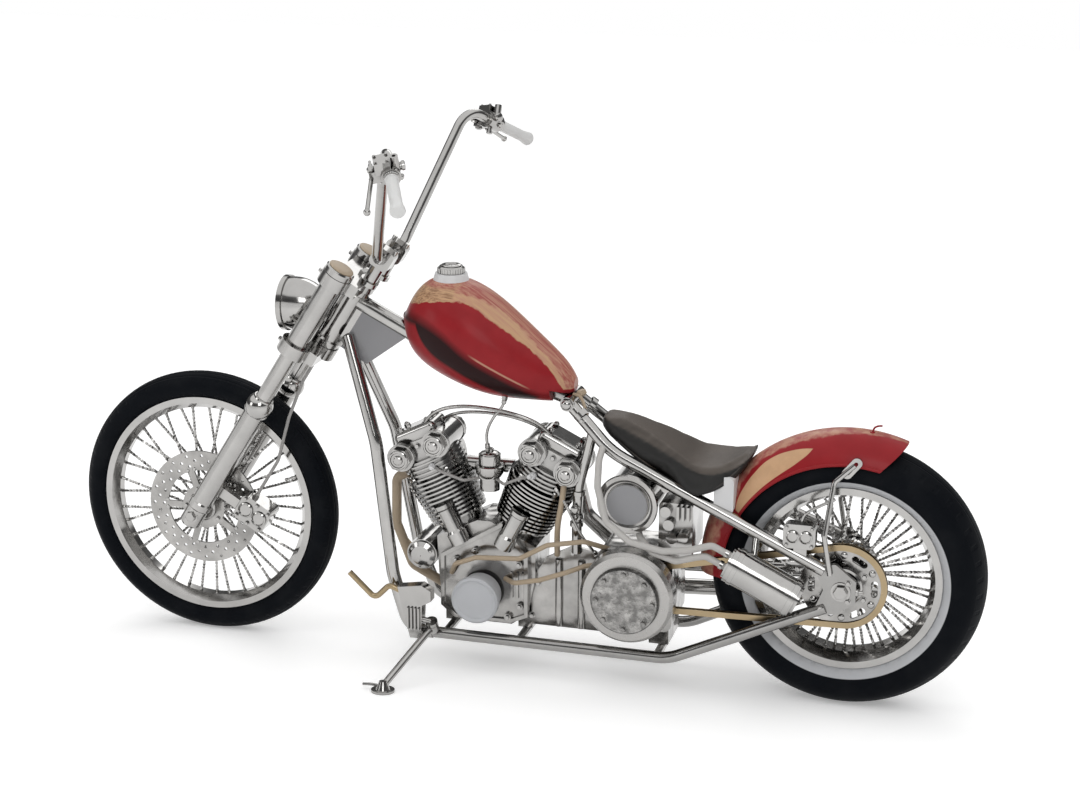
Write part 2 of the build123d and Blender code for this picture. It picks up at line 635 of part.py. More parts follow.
def gearbox():
    case = block((GEARBOX_X - 92, -78, 150), (GEARBOX_X + 92, 78, GEARBOX_TOP))
    case = fillet(case.edges().filter_by(Axis.Y), 22)
    foot = block((RAIL_KINK_X + 12, -60, RAIL_Z + CROSS_RADIUS + SEATED), (RAIL_KINK_X + 60, 60, 160))
    shaft = across(GEARBOX_X, GEARBOX_Z, 16, 70, CHAIN_Y + 16)
    sprocket = across(GEARBOX_X, GEARBOX_Z, FRONT_SPROCKET - ROLLER_RADIUS - SEATED, CHAIN_Y - 3, CHAIN_Y + 3)
    return fused(case, foot, shaft, sprocket)


def engine_plate(case, gear_case):
    """Flat plate with two posts that ties the gearbox to the crankcase."""
    plate = slab([(570, 124), (570, 322), (650, 336), (716, 300), (770, 210), (770, 124)], 44, 54)
    posts = [rod((x, 56, 128), (x, 56, 300), 9) for x in (628, 684)]
    return largest(fused(plate, *posts) - case - gear_case)


def clutch():
    place = Plane(origin=(GEARBOX_X, CHAIN_Y + 16 + SEATED, GEARBOX_Z), z_dir=(0, 1, 0))
    drum = turned(place, [(0, 0), (CLUTCH_RADIUS - 6, 0), (CLUTCH_RADIUS, 6), (CLUTCH_RADIUS, 46), (CLUTCH_RADIUS - 8, 56),
                          (82, 58), (80, 62), (80, 74), (75, 77), (0, 77)])
    bolts = [place * Rot(0, 0, 45 * k) * Pos(68, 0, 76) * Cylinder(6, 7, align=UP) for k in range(8)]
    return fused(drum, *bolts)


def chain_loop(offset):
    rear = Pos(REAR_AXLE.X, REAR_AXLE.Z) * Circle(REAR_SPROCKET + offset)
    front = Pos(GEARBOX_X, GEARBOX_Z) * Circle(FRONT_SPROCKET + offset)
    return make_hull(rear.edges() + front.edges())


def roller(place):
    inner, outer = CHAIN_Y - CHAIN_GAP / 2 - 1, CHAIN_Y + CHAIN_GAP / 2 + 1
    return across(place.X, place.Z, ROLLER_RADIUS, inner, outer)


def chain():
    """Drive chain: two link plates around both sprockets, with rollers between them."""
    half = CHAIN_HEIGHT / 2
    loop = chain_loop(half) - chain_loop(-half)
    side_plane = Plane(origin=(0, 0, 0), x_dir=(1, 0, 0), z_dir=(0, -1, 0))
    plates = []
    for inner in (CHAIN_Y + CHAIN_GAP / 2, CHAIN_Y - CHAIN_GAP / 2 - CHAIN_PLATE):
        plate = side_plane.offset(-inner - CHAIN_PLATE) * extrude(loop, CHAIN_PLATE)
        plates.append(plate)
    length = sqrt((GEARBOX_X - REAR_AXLE.X)**2 + (GEARBOX_Z - REAR_AXLE.Z)**2)
    along = (Vector(GEARBOX_X, 0, GEARBOX_Z) - REAR_AXLE) / length
    rise = Vector(-along.Z, 0, along.X)
    lean = (REAR_SPROCKET - FRONT_SPROCKET) / length
    pins = []
    for side in (1, -1):
        normal = along * lean + rise * (side * sqrt(1 - lean**2))
        run = along * sqrt(1 - lean**2) - rise * (side * lean)
        start = REAR_AXLE + normal * REAR_SPROCKET
        step = 60
        while step < length - 40:
            pin = start + run * step
            pins.append(roller(pin))
            step += PIN_PITCH
    centre = Vector(GEARBOX_X, 0, GEARBOX_Z)
    for angle in range(-80, 81, 40):
        pins.append(roller(centre + (along * FRONT_SPROCKET).rotate(Axis.Y, angle)))
    return fused(plates[0], plates[1], *pins)


def sprocket():
    """Rear sprocket plate with oval windows, on the hub's left end."""
    place = wheel_frame(REAR_AXLE) * Pos(0, 0, CHAIN_Y - 3)
    plate = Cylinder(REAR_SPROCKET + 3, 6, align=UP) - Cylinder(44 + SEATED + 2, 6, align=UP)
    windows = [Rot(0, 0, 60 * k) * Pos(72, 0, 0) * extrude(Rot(0, 0, 90) * SlotOverall(40, 16), 6) for k in range(6)]
    return place * (plate - windows)


# Bodywork and fittings
TANK_SECTIONS = [  # x, middle height, half height, half width
    (1086, 862, 8, 10),
    (1064, 848, 58, 52),
    (1018, 850, 105, 94),
    (950, 838, 126, 118),
    (880, 813, 123, 120),
    (790, 774, 93, 100),
    (700, 736, 54, 60),
    (660, 724, 16, 20),
]


def backbone_height(x):
    """Height of the top tube's axis at a place along the machine."""
    front = backbone_front()
    ends = (BACKBONE_REAR, BACKBONE_KNEE) if x < BACKBONE_KNEE[0] else (BACKBONE_KNEE, (front.X, 0, front.Z))
    run = (x - ends[0][0]) / (ends[1][0] - ends[0][0])
    return ends[0][2] + run * (ends[1][2] - ends[0][2])


def under_backbone(roof, half_width):
    """Space around the top tube, open below; roof holds (x, height above the tube's axis) corners."""
    floor = BACKBONE_REAR[2] - 200
    corners = [(x, backbone_height(x) + clear) for x, clear in roof]
    return slab(corners + [(roof[-1][0], floor), (roof[0][0], floor)], -half_width, half_width)


def fuel_tank():
    sections = []
    for x, middle, half_height, half_width in TANK_SECTIONS:
        place = Plane(origin=(x, 0, middle), x_dir=(0, 1, 0), z_dir=(1, 0, 0))
        sections.append(place * Ellipse(half_width, half_height))
    tail = BACKBONE_REAR[0] - 68
    knee = BACKBONE_KNEE[0] - 14
    along = Vector(*BACKBONE_KNEE) - Vector(*BACKBONE_REAR)
    seated = BACKBONE_RADIUS * along.length / along.X + SEATED
    loose = BACKBONE_RADIUS + 5
    tunnel = under_backbone([(1120, loose), (knee, loose), (knee - 6, seated), (tail, seated)], BACKBONE_RADIUS + 3)
    tail_roof = CROSS_TUBE_RADIUS + 2
    tail_cut = under_backbone([(BACKBONE_REAR[0] + 42, tail_roof), (tail, tail_roof)], 80)
    return largest(loft(sections) - tunnel - tail_cut)


def filler(tank):
    base = largest(Pos(CAP_X, 0, CAP_Z - 40) * Cone(50, 38, 40, align=UP) - tank)
    cap = turned(Plane(origin=(CAP_X, 0, CAP_Z + SEATED)), [(0, 0), (32, 0), (32, 12), (28, 16), (0, 17)])
    return base, cap


def seat():
    """Sprung solo saddle: narrow nose, deep dish, wide upswept tail."""
    top = [ThreePointArc((586, 0, 668), (480, 0, 630), (380, 0, 583)), ThreePointArc((380, 0, 583), (306, 0, 570), (228, 0, 614))]
    under = [ThreePointArc((228, 0, 602), (282, 0, 538), (350, 0, 508)), ThreePointArc((350, 0, 508), (470, 0, 560), (594, 0, 642))]
    ends = [Line((228, 0, 614), (228, 0, 602)), Line((594, 0, 642), (586, 0, 668))]
    side = extrude(make_face(top + under + ends), amount=150, dir=(0, 1, 0), both=True)
    plan = [
        ThreePointArc((556, 54, 0), (596, 0, 0), (556, -54, 0)),
        ThreePointArc((556, -54, 0), (440, -88, 0), (330, -120, 0)),
        ThreePointArc((330, -120, 0), (222, 0, 0), (330, 120, 0)),
        ThreePointArc((330, 120, 0), (440, 88, 0), (556, 54, 0)),
    ]
    body = side & extrude(make_face(plan), amount=900, dir=(0, 0, 1))
    for y in (1, -1):
        points = [(x, y * side_y, z) for x, side_y, z in STAY_POINTS]
        body = body - tube(points, STAY_RADIUS + SEATED, 200)
    return largest(body)


def fender():
    """Rear mudguard: a rounded thin shell swept round the tyre."""
    edge = FENDER_RADIUS - FENDER_DROP
    inner_half = FENDER_HALF - FENDER_WALL
    section = make_face([
        ThreePointArc((-FENDER_HALF, edge), (0, FENDER_RADIUS), (FENDER_HALF, edge)),
        Line((FENDER_HALF, edge), (inner_half, edge)),
        ThreePointArc((inner_half, edge), (0, FENDER_RADIUS - FENDER_WALL), (-inner_half, edge)),
        Line((-inner_half, edge), (-FENDER_HALF, edge)),
    ])
    axis = Axis(REAR_AXLE, LEFT)
    beads = [Pos(side * (FENDER_HALF - FENDER_WALL / 2), edge) * Circle(FENDER_BEAD) for side in (1, -1)]
    shells = [revolve(wheel_plane(REAR_AXLE) * face, axis, FENDER_SWEEP) for face in [section] + beads]
    shell = fused(*shells).rotate(axis, 90 - FENDER_TAIL)
    top, low = polar(FENDER_RADIUS + 3, FENDER_TAIL), polar(edge - 10, FENDER_TAIL - TAIL_SLANT)
    beyond = polar(1.2 * FENDER_RADIUS, FENDER_TAIL + 40)
    return largest(shell - slab([top, low, beyond], -2 * FENDER_HALF, 2 * FENDER_HALF))


def polar(radius, angle):
    """An (x, z) place round the rear axle; 0 degrees points forward, 90 up."""
    return REAR_AXLE.X + radius * cos(radians(angle)), REAR_AXLE.Z + radius * sin(radians(angle))


def fender_struts():
    """Side stays of the mudguard, from an eye on its flank to the outer face of the axle plate."""
    bead_face = FENDER_HALF - FENDER_WALL / 2 + FENDER_BEAD
    eye = Vector(-14, bead_face + SEATED + STRUT_RADIUS, REAR_AXLE.Z + 292)
    plate_face = PLATE_Y + PLATE_THICKNESS / 2
    outside = plate_face + STRUT_RADIUS + SEATED
    foot = Vector(26, outside, REAR_AXLE.Z + 40)
    bar = tube([eye, (30, bead_face + 14, REAR_AXLE.Z + 250), (42, outside, REAR_AXLE.Z + 130), foot], STRUT_RADIUS, 18)
    link = Plane(origin=eye - LEFT * STRUT_RADIUS, x_dir=(0.62, 0, -0.78), z_dir=LEFT) * Pos(10, 0, 0)
    pad = link * extrude(SlotOverall(58, 24), 8) - link * extrude(SlotOverall(38, 9), 8)
    return both_sides(fused(bar - link * extrude(SlotOverall(38, 9), 8), pad))


def oil_tank():
    drum = across(OIL_TANK_X, OIL_TANK_Z, OIL_TANK_RADIUS, -112, 112)
    place = Plane(origin=(OIL_TANK_X, 111, OIL_TANK_Z), z_dir=(0, 1, 0))
    rim_part = turned(place, [(0, 0), (71, 0), (73, 4), (71, 10), (62, 12), (56, 6), (50, 4), (48, 10), (0, 10)])
    return fused(drum, rim_part)


def electrical_box():
    body = block((356, -50, GEARBOX_TOP + SEATED), (436, 84, 478))
    body = fillet(body.edges().filter_by(Axis.Y), 8)
    domes = [across(x, z, 13, 84, 100) for x, z in ((418, 460), (410, 428), (402, 396), (376, 400))]
    fins = [block((362 + 12 * k, 84 - 1, 440), (368 + 12 * k, 96, 474)) for k in range(3)]
    return fused(body, *domes, *fins)


def canister(stay_part):
    """Filter canister slung below the left stay on a short post."""
    axis = (CANISTER_FRONT - CANISTER_REAR).normalized()
    body = rod(CANISTER_FRONT, CANISTER_REAR, 44)
    ends = [rod(CANISTER_FRONT + axis * CANISTER_NOSE, CANISTER_FRONT, 38), rod(CANISTER_REAR, CANISTER_REAR - axis * 8, 34)]
    post = rod((200, 150, 352), (200, 112, 432), 8)
    return largest(fused(body, post, *ends) - stay_part)


def hose_end(along, up):
    """A point before the canister's front end, up across it and along its axis."""
    axis = (CANISTER_FRONT - CANISTER_REAR).normalized()
    rise = axis.cross(LEFT).normalized()
    return CANISTER_FRONT + axis * (CANISTER_NOSE + SEATED + along) + rise * up


def oil_hoses(stay_part, tank_part):
    first = [(574, 76, 600), (575, 112, 578), (572, 136, 520), (548, 146, 440), (490, 152, 398), (410, 154, 384), (352, 154, 392),
             hose_end(50, 16), hose_end(0, 16)]
    second = [(488, 92, 420), (474, 108, 394), (440, 140, 374), (380, 152, 362), (330, 153.6, 378), hose_end(50, -15), hose_end(0, -15)]
    return [largest(tube(first, 8, 24) - stay_part), largest(tube(second, 8, 20) - tank_part)]


def oil_lines(case, gear_case, front_head):
    """A line from the crankcase over to the gearbox, and a breather down the front of the engine."""
    upper = [(948, 78, 246), (930, 106, 280), (876, 112, 304), (768, 112, 312), (700, 108, 352), (612, 96, 366), (560, 60, 340)]
    lower = [(812, 78, 244), (780, 116, 250), (716, 120, 266), (650, 112, 290), (612, 90, 302), (572, 70, 304)]
    port = cylinder_frame(1)
    start = port.from_local_coords(Vector(70, 0, HEAD_START + 20))
    out = port.from_local_coords(Vector(112, 0, HEAD_START + 20))
    breather = [start, out, (1116, 0, 330), (1075, 0, 225), (970, 0, 172)]
    across_lines = [largest(tube(points, 6, 22) - case - gear_case) for points in (upper, lower)]
    return across_lines + [largest(tube(breather, 12, 24) - case - front_head)]


def plug_leads(head_parts, intake_part):
    """Spark plug leads from the tower between the cylinders to each head."""
    leads = []
    for side, head_part in zip((1, -1), head_parts):
        plug = cylinder_frame(side).from_local_coords(Vector(-20 * side, 70, HEAD_START + 24))
        tower = CRANK_X - 6
        points = [plug, (plug.X - 30 * side, 96, plug.Z - 4), (tower + 50 * side, 84, 486), (tower + 16 * side, 40, 484)]
        leads.append(largest(tube(points, 3.5, 14) - head_part - intake_part))
    return leads


def foot_mounts():
    """Cast carriers for the foot levers on the lower bends of the frame."""
    outline = [(1060, 226), (1000, 236), (976, 222), (976, 196), (998, 184), (1002, RAIL_Z - 2), (1030, RAIL_Z - 2), (1048, 170)]
    body = slab(outline, RAIL_Y + DOWN_RADIUS + SEATED, 160)
    ribs = [block((1004 + 9 * k, 159, 122), (1008 + 9 * k, 166, 178)) for k in range(4)]
    return both_sides(fused(body, *ribs))


def foot_levers(mounts):
    points = [(1030, 148, 202), (1083, 152, 226), (1118, 158, 190), (1180, 165, 254)]
    return both_sides(largest(tube(points, 7, 14) - mounts[0]))


def exhaust_pipes():
    """Two straight pipes down the right side, one from each head."""
    pipes = []
    for side, down, level, end in EXHAUSTS:
        port = cylinder_frame(side).from_local_coords(Vector(0, -HEAD_RADIUS - 2 * SEATED, HEAD_START + 26))
        points = [port, (port.X, -188, port.Z), down, level, (420, -188, level[2] - 24), end]
        pipes.append(tube(points, 20, [44, 60, 60, 60]))
    return pipes


EXHAUSTS = [  # cylinder side, foot of the drop, start of the level run, outlet
    (1, (1000, -190, 300), (900, -190, 190), (-60, -188, 196)),
    (-1, (682, -190, 330), (590, -190, 252), (-10, -188, 250)),
]


def seat_brackets(seat_part, fender_part, stay_parts):
    """Pads that carry the seat's tail on the stays, one each side of the mudguard."""
    body = block((258, 40, 470), (304, 104, 560))
    body = fillet(body.edges().filter_by(Axis.Y), 14) - seat_part - fender_part - stay_parts[0]
    return both_sides(largest(body))


def rear_caliper(stay_part):
    """Rear brake caliper above the left axle plate, on a lug that sits on the stay."""
    body = block((62, 106, REAR_AXLE.Z + 96), (136, 138, REAR_AXLE.Z + 154))
    body = fillet(body.edges().filter_by(Axis.Y), 14)
    lug = block((82, 112, REAR_AXLE.Z + 70), (112, 130, REAR_AXLE.Z + 100))
    return largest(fused(body, lug) - stay_part)


# Side stand
def side_stand():
    ankle_height = FOOT_THICKNESS + STAND_RADIUS - 2
    foot_place = Rot(LEAN, 0, 0) * Pos(STAND_FOOT_X, STAND_FOOT_Y, 0)
    pivot = Vector(*STAND_PIVOT)
    ankle = (foot_place * Pos(0, 0, ankle_height)).position
    pad = foot_place * Cylinder(FOOT_RADIUS, FOOT_THICKNESS, align=UP)
    shoe = foot_place * Cone(FOOT_RADIUS - 8, STAND_RADIUS, 2 * ankle_height, align=UP)
    leg = rod(pivot, ankle, STAND_RADIUS)
    eye = Plane(origin=pivot - STAND_AXIS * 9, z_dir=STAND_AXIS) * Cylinder(15, 18, align=UP)
    bore = Plane(origin=pivot - STAND_AXIS * 30, z_dir=STAND_AXIS) * Cylinder(STAND_PIN + RUNNING, 60, align=UP)
    return fused(leg, eye, pad, shoe) - bore


FOLDED = Vector(-0.985, 0.10, -0.06).normalized()
DOWN = ((Rot(LEAN, 0, 0) * Pos(STAND_FOOT_X, STAND_FOOT_Y, FOOT_THICKNESS / 2)).position - Vector(*STAND_PIVOT)).normalized()
STAND_AXIS = FOLDED.cross(DOWN).normalized()


def stand_pin(mount_part):
    """Pivot pin of the stand with its nut, on an arm from the foot lever's carrier."""
    pivot = Vector(*STAND_PIVOT)
    pin = Plane(origin=pivot - STAND_AXIS * 16, z_dir=STAND_AXIS) * Cylinder(STAND_PIN, 36, align=UP)
    cheek = Plane(origin=pivot - STAND_AXIS * 20, z_dir=STAND_AXIS) * Cylinder(15, 10, align=UP)
    nut = Plane(origin=pivot + STAND_AXIS * 10, z_dir=STAND_AXIS) * extrude(RegularPolygon(11, 6), 8)
    arm_start = pivot - STAND_AXIS * 18
    arm = rod(arm_start, arm_start + Vector(40, 0, 6), 7)
    return largest(fused(pin, cheek, nut, arm) - mount_part)


def axle(place, half_length):
    return turned(wheel_frame(place), [(0, -half_length), (AXLE_RADIUS, -half_length), (AXLE_RADIUS, half_length), (0, half_length)])


def machine():
    """All pieces by node name, upright."""
    nodes = {}
    nodes["front_tyre"] = tyre(FRONT_AXLE, FRONT_TYRE_RADIUS, FRONT_TYRE_HALF, FRONT_CROWN, FRONT_FLANGE, FRONT_RIM_HALF)
    nodes["front_rim"] = rim(FRONT_AXLE, FRONT_FLANGE, FRONT_RIM_HALF)
    nodes["front_hub"] = laced_hub(FRONT_AXLE, FRONT_FLANGE, FRONT_RIM_HALF, FRONT_SPOKES, 28, 46, 34, 62)
    nodes["front_brake_disc"] = brake_disc(FRONT_AXLE, DISC_Y)
    nodes["rear_tyre"] = tyre(REAR_AXLE, REAR_TYRE_RADIUS, REAR_TYRE_HALF, REAR_CROWN, REAR_FLANGE, REAR_RIM_HALF)
    nodes["rear_rim"] = rim(REAR_AXLE, REAR_FLANGE, REAR_RIM_HALF)
    nodes["rear_hub"] = laced_hub(REAR_AXLE, REAR_FLANGE, REAR_RIM_HALF, REAR_SPOKES, 40, 66, 46, 108)
    nodes["rear_sprocket"] = sprocket()
    nodes["fork_sliders"], nodes["fork_tubes"] = fork_parts()
    nodes["lower_yoke"] = tree(LOWER_TREE, True)
    nodes["upper_yoke"] = tree(UPPER_TREE, False)
    nodes["headlamp"], nodes["headlamp_lens"] = headlamp()
    nodes["handlebar"], nodes["grips"], nodes["hand_controls"] = handlebar_parts()
    nodes["risers"] = risers()
    nodes["front_axle"] = axle(FRONT_AXLE, LEG_SPREAD + 22)
    nodes["front_caliper"] = front_caliper()
    nodes["front_brake_line"] = front_brake_line()
    nodes["frame_neck"] = neck()
    nodes["frame_backbone"] = backbone(nodes["frame_neck"])
    nodes["frame_downtubes"] = downtubes(nodes["frame_neck"])
    nodes["frame_rails"] = rails()
    nodes["frame_stays"] = stays(nodes["frame_backbone"], nodes["frame_rails"])
    nodes["frame_crossmembers"] = crossmembers(nodes["frame_rails"], nodes["frame_stays"])
    nodes["rear_axle"] = axle(REAR_AXLE, PLATE_Y + 18)
    nodes["crankcase"] = crankcase()
    nodes["cylinders"] = [cylinder(1), cylinder(-1)]
    nodes["heads"] = [head(1), head(-1)]
    nodes["pushrod_tubes"] = all_pushrods()
    nodes["intake"] = intake()
    nodes["generator"] = generator()
    nodes["crank_pulley"] = pulley()
    nodes["gearbox"] = gearbox()
    nodes["engine_plate"] = engine_plate(nodes["crankcase"], nodes["gearbox"])
    nodes["clutch"] = clutch()
    nodes["drive_chain"] = chain()
    nodes["fuel_tank"] = fuel_tank()
    nodes["filler_base"], nodes["tank_cap"] = filler(nodes["fuel_tank"])
    nodes["seat"] = seat()
    nodes["rear_fender"] = fender()
    nodes["fender_struts"] = fender_struts()
    nodes["oil_tank"] = oil_tank()
    nodes["electrical_box"] = electrical_box()
    nodes["filter_canister"] = canister(nodes["frame_stays"][0])
    nodes["oil_hoses"] = oil_hoses(nodes["frame_stays"][0], nodes["oil_tank"])
    nodes["oil_lines"] = oil_lines(nodes["crankcase"], nodes["gearbox"], nodes["heads"][0])
    nodes["plug_leads"] = plug_leads(nodes["heads"], nodes["intake"])
    nodes["foot_mounts"] = foot_mounts()
    nodes["foot_levers"] = foot_levers(nodes["foot_mounts"])
    nodes["exhaust_pipes"] = exhaust_pipes()
    nodes["seat_brackets"] = seat_brackets(nodes["seat"], nodes["rear_fender"], nodes["frame_stays"])
    nodes["rear_caliper"] = rear_caliper(nodes["frame_stays"][0])
    nodes["stand_pin"] = stand_pin(nodes["foot_mounts"][0])
    nodes["side_stand"] = side_stand()
    return nodes


def as_shape(pieces):
    """One shape for a node, whether it is one piece or several."""
    if not isinstance(pieces, list):
        return pieces
    return Compound([solid for piece in pieces for solid in piece.solids()])


def main():
    leaned = {name: Rot(-LEAN, 0, 0) * as_shape(pieces) for name, pieces in machine().items()}
    boxes = [shape.bounding_box() for shape in leaned.values()]
    low = [min(getattr(box.min, axis) for box in boxes) for axis in "XYZ"]
    high = [max(getattr(box.max, axis) for box in boxes) for axis in "XYZ"]
    to_origin = Pos(-(low[0] + high[0]) / 2, -(low[1] + high[1]) / 2, -low[2])
    print("box", [round(b - a, 2) for a, b in zip(low, high)], "lowest", round(low[2], 3))
    print("origin shift", [round(v, 3) for v in to_origin.position])
    os.makedirs("parts", exist_ok=True)
    for name, shape in leaned.items():
        export_step(to_origin * shape, f"parts/{name}.step")


main()
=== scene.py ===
"""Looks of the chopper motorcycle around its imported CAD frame. Metres, in the row frame."""
import json
import math

import bmesh
import bpy
from mathutils import Matrix, Vector


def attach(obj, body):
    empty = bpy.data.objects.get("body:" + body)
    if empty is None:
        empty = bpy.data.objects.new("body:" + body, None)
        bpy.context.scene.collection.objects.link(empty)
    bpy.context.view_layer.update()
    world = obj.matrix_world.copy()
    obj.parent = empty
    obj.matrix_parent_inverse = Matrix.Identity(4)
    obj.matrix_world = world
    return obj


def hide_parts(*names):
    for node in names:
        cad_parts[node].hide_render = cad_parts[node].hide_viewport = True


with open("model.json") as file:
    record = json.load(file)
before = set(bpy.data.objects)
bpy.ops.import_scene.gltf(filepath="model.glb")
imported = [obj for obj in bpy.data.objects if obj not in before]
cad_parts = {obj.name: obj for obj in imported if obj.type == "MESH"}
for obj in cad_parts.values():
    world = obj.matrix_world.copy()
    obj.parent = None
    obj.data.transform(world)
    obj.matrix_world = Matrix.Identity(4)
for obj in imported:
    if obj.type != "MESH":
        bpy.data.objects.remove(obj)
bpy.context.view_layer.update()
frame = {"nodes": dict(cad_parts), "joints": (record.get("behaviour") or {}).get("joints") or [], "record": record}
NODES = frame["nodes"]
JOINTS = {joint["name"]: joint for joint in frame["joints"]}
MM = 0.001

# The machine's own upright frame: x forward and z up from the floor under the rear axle, y to the left
REAR_AXLE = Vector(JOINTS["rear_wheel_spin"]["pos_m"])
FRONT_AXLE = Vector(JOINTS["front_wheel_spin"]["pos_m"])
LEFT = Vector(JOINTS["rear_wheel_spin"]["axis"]).normalized()
FORWARD = Vector((1, 0, 0))
UPRIGHT = FORWARD.cross(LEFT)
AXLE_HEIGHT = REAR_AXLE.z / UPRIGHT.z
GROUND = REAR_AXLE - UPRIGHT * AXLE_HEIGHT
BIKE = Matrix.Translation(GROUND) @ Matrix((FORWARD, LEFT, UPRIGHT)).transposed().to_4x4()
BIKE_BACK = BIKE.inverted()
WHEELBASE = (FRONT_AXLE - REAR_AXLE).x
FRONT_HEIGHT = (BIKE_BACK @ FRONT_AXLE).z

# Camera, fitted to both wheels of the photograph
PHOTO_WIDTH = 1080
FOCAL_PIXELS = 2021.93
SENSOR = 36
VIEW_AZIMUTH = math.radians(195.26)
VIEW_ELEVATION = math.radians(11.83)
VIEW_ROLL = math.radians(1.55)
VIEW_TARGET = Vector((-0.0514, -0.1071, 0.6504))
VIEW_DISTANCE = 4.88


# Shader helpers
class Shader:
    """A material's node tree with short calls for the nodes this scene uses."""

    def __init__(self, name):
        self.material = bpy.data.materials.new(name)
        self.material.use_nodes = True
        self.tree = self.material.node_tree
        self.tree.nodes.clear()
        self.output = self.add("ShaderNodeOutputMaterial")
        self.surface = self.add("ShaderNodeBsdfPrincipled")
        self.tree.links.new(self.surface.outputs[0], self.output.inputs["Surface"])

    def add(self, kind, **values):
        node = self.tree.nodes.new(kind)
        for key, value in values.items():
            setattr(node, key, value)
        return node

    def feed(self, socket, value):
        """Links a node's output to a socket, or sets the socket to a constant."""
        if isinstance(value, bpy.types.NodeSocket):
            self.tree.links.new(value, socket)
        else:
            socket.default_value = value

    def set(self, **values):
        for key, value in values.items():
            self.feed(self.surface.inputs[key.replace("_", " ").title()], colour(value))
        return self

    def coat(self, weight, roughness):
        self.surface.inputs["Coat Weight"].default_value = weight
        self.surface.inputs["Coat Roughness"].default_value = roughness

    def shine(self, level):
        self.surface.inputs["Specular IOR Level"].default_value = level

    def place(self):
        """Rest coordinates that stay with the body."""
        return self.add("ShaderNodeTexCoord").outputs["Object"]

    def bike_place(self):
        """Coordinates in the machine's upright frame."""
        node = self.add("ShaderNodeMapping", vector_type="TEXTURE")
        self.feed(node.inputs["Vector"], self.place())
        node.inputs["Location"].default_value = GROUND
        node.inputs["Rotation"].default_value = BIKE.to_euler()
        return node.outputs[0]

    def stretched(self, vector, turn, length, width):
        """Coordinates for grain of a length and width that runs forward, tipped up by a turn."""
        node = self.add("ShaderNodeMapping", vector_type="TEXTURE")
        self.feed(node.inputs["Vector"], vector)
        node.inputs["Rotation"].default_value = (0, -turn, 0)
        node.inputs["Scale"].default_value = (length, width, width)
        return node.outputs[0]

    def open_sky(self, distance):
        """1 on open faces, falling towards 0 in corners, where shade is painted."""
        node = self.add("ShaderNodeAmbientOcclusion", samples=8)
        node.inputs["Distance"].default_value = distance
        return node.outputs["AO"]

    def facing_up(self):
        """How far a face points up, from -1 to 1."""
        return self.split(self.add("ShaderNodeNewGeometry").outputs["Normal"])["Z"]

    def noise(self, scale, detail=2.0, roughness=0.5, vector=None, distortion=0.0):
        node = self.add("ShaderNodeTexNoise")
        self.feed(node.inputs["Vector"], vector or self.place())
        node.inputs["Scale"].default_value = scale
        node.inputs["Detail"].default_value = detail
        node.inputs["Roughness"].default_value = roughness
        node.inputs["Distortion"].default_value = distortion
        return node.outputs["Fac"]

    def cells(self, scale, vector=None):
        node = self.add("ShaderNodeTexVoronoi", feature="DISTANCE_TO_EDGE")
        self.feed(node.inputs["Vector"], vector or self.place())
        node.inputs["Scale"].default_value = scale
        return node.outputs["Distance"]

    def math(self, kind, first, second=0.0):
        node = self.add("ShaderNodeMath", operation=kind)
        self.feed(node.inputs[0], first)
        self.feed(node.inputs[1], second)
        return node.outputs[0]

    def both(self, *masks):
        """The product of several masks."""
        result = masks[0]
        for mask in masks[1:]:
            result = self.math("MULTIPLY", result, mask)
        return result

    def ramp(self, factor, low, high, start=0.0, end=1.0):
        """A clamped straight line from low at start to high at end."""
        node = self.add("ShaderNodeMapRange")
        values = {"Value": factor, "From Min": start, "From Max": end, "To Min": low, "To Max": high}
        for name, value in values.items():
            self.feed(node.inputs[name], value)
        return node.outputs[0]

    def line(self, along, points):
        """The height of a smooth line through (along, height) points, at a place along it."""
        node = self.add("ShaderNodeFloatCurve")
        curve = node.mapping.curves[0]
        first, last = points[0][0], points[-1][0]
        low = min(height for _, height in points)
        high = max(height for _, height in points)
        while len(curve.points) < len(points):
            curve.points.new(0.5, 0.5)
        for point, (place, height) in zip(curve.points, points):
            point.location = ((place - first) / (last - first), (height - low) / (high - low))
        node.mapping.update()
        self.feed(node.inputs["Value"], self.ramp(along, 0, 1, first, last))
        return self.ramp(node.outputs[0], low, high)

    def above(self, height, line, soft):
        """1 above a line and 0 below it, soft over a width each side."""
        return self.ramp(self.math("SUBTRACT", height, line), 0, 1, -soft, soft)

    def below(self, height, line, soft):
        return self.ramp(self.math("SUBTRACT", height, line), 1, 0, -soft, soft)

    def between(self, value, low, high, soft):
        return self.both(self.above(value, low, soft), self.below(value, high, soft))

    def mix(self, factor, first, second):
        node = self.add("ShaderNodeMix", data_type="RGBA")
        self.feed(node.inputs["Factor"], factor)
        self.feed(node.inputs["A"], colour(first))
        self.feed(node.inputs["B"], colour(second))
        return node.outputs["Result"]

    def split(self, vector):
        node = self.add("ShaderNodeSeparateXYZ")
        self.feed(node.inputs[0], vector)
        return node.outputs

    def round_axle(self, place, x, height):
        """Radius and angle round a sideways axis at (x, height), and the distance from the middle plane."""
        across, side, up = self.split(place)
        dx = self.math("SUBTRACT", across, x)
        dz = self.math("SUBTRACT", up, height)
        square = self.math("ADD", self.math("MULTIPLY", dx, dx), self.math("MULTIPLY", dz, dz))
        return self.math("SQRT", square), self.math("ARCTAN2", dz, dx), self.math("ABSOLUTE", side)

    def bump(self, height, strength, distance):
        node = self.add("ShaderNodeBump")
        node.inputs["Strength"].default_value = strength
        node.inputs["Distance"].default_value = distance
        self.feed(node.inputs["Height"], height)
        return node.outputs[0]


def colour(value):
    """A colour socket takes four numbers."""
    if isinstance(value, tuple) and len(value) == 3:
        return (*value, 1.0)
    return value


def scaled(tint, factor):
    """A tint made darker or paler by a factor."""
    return tuple(factor * c for c in tint)


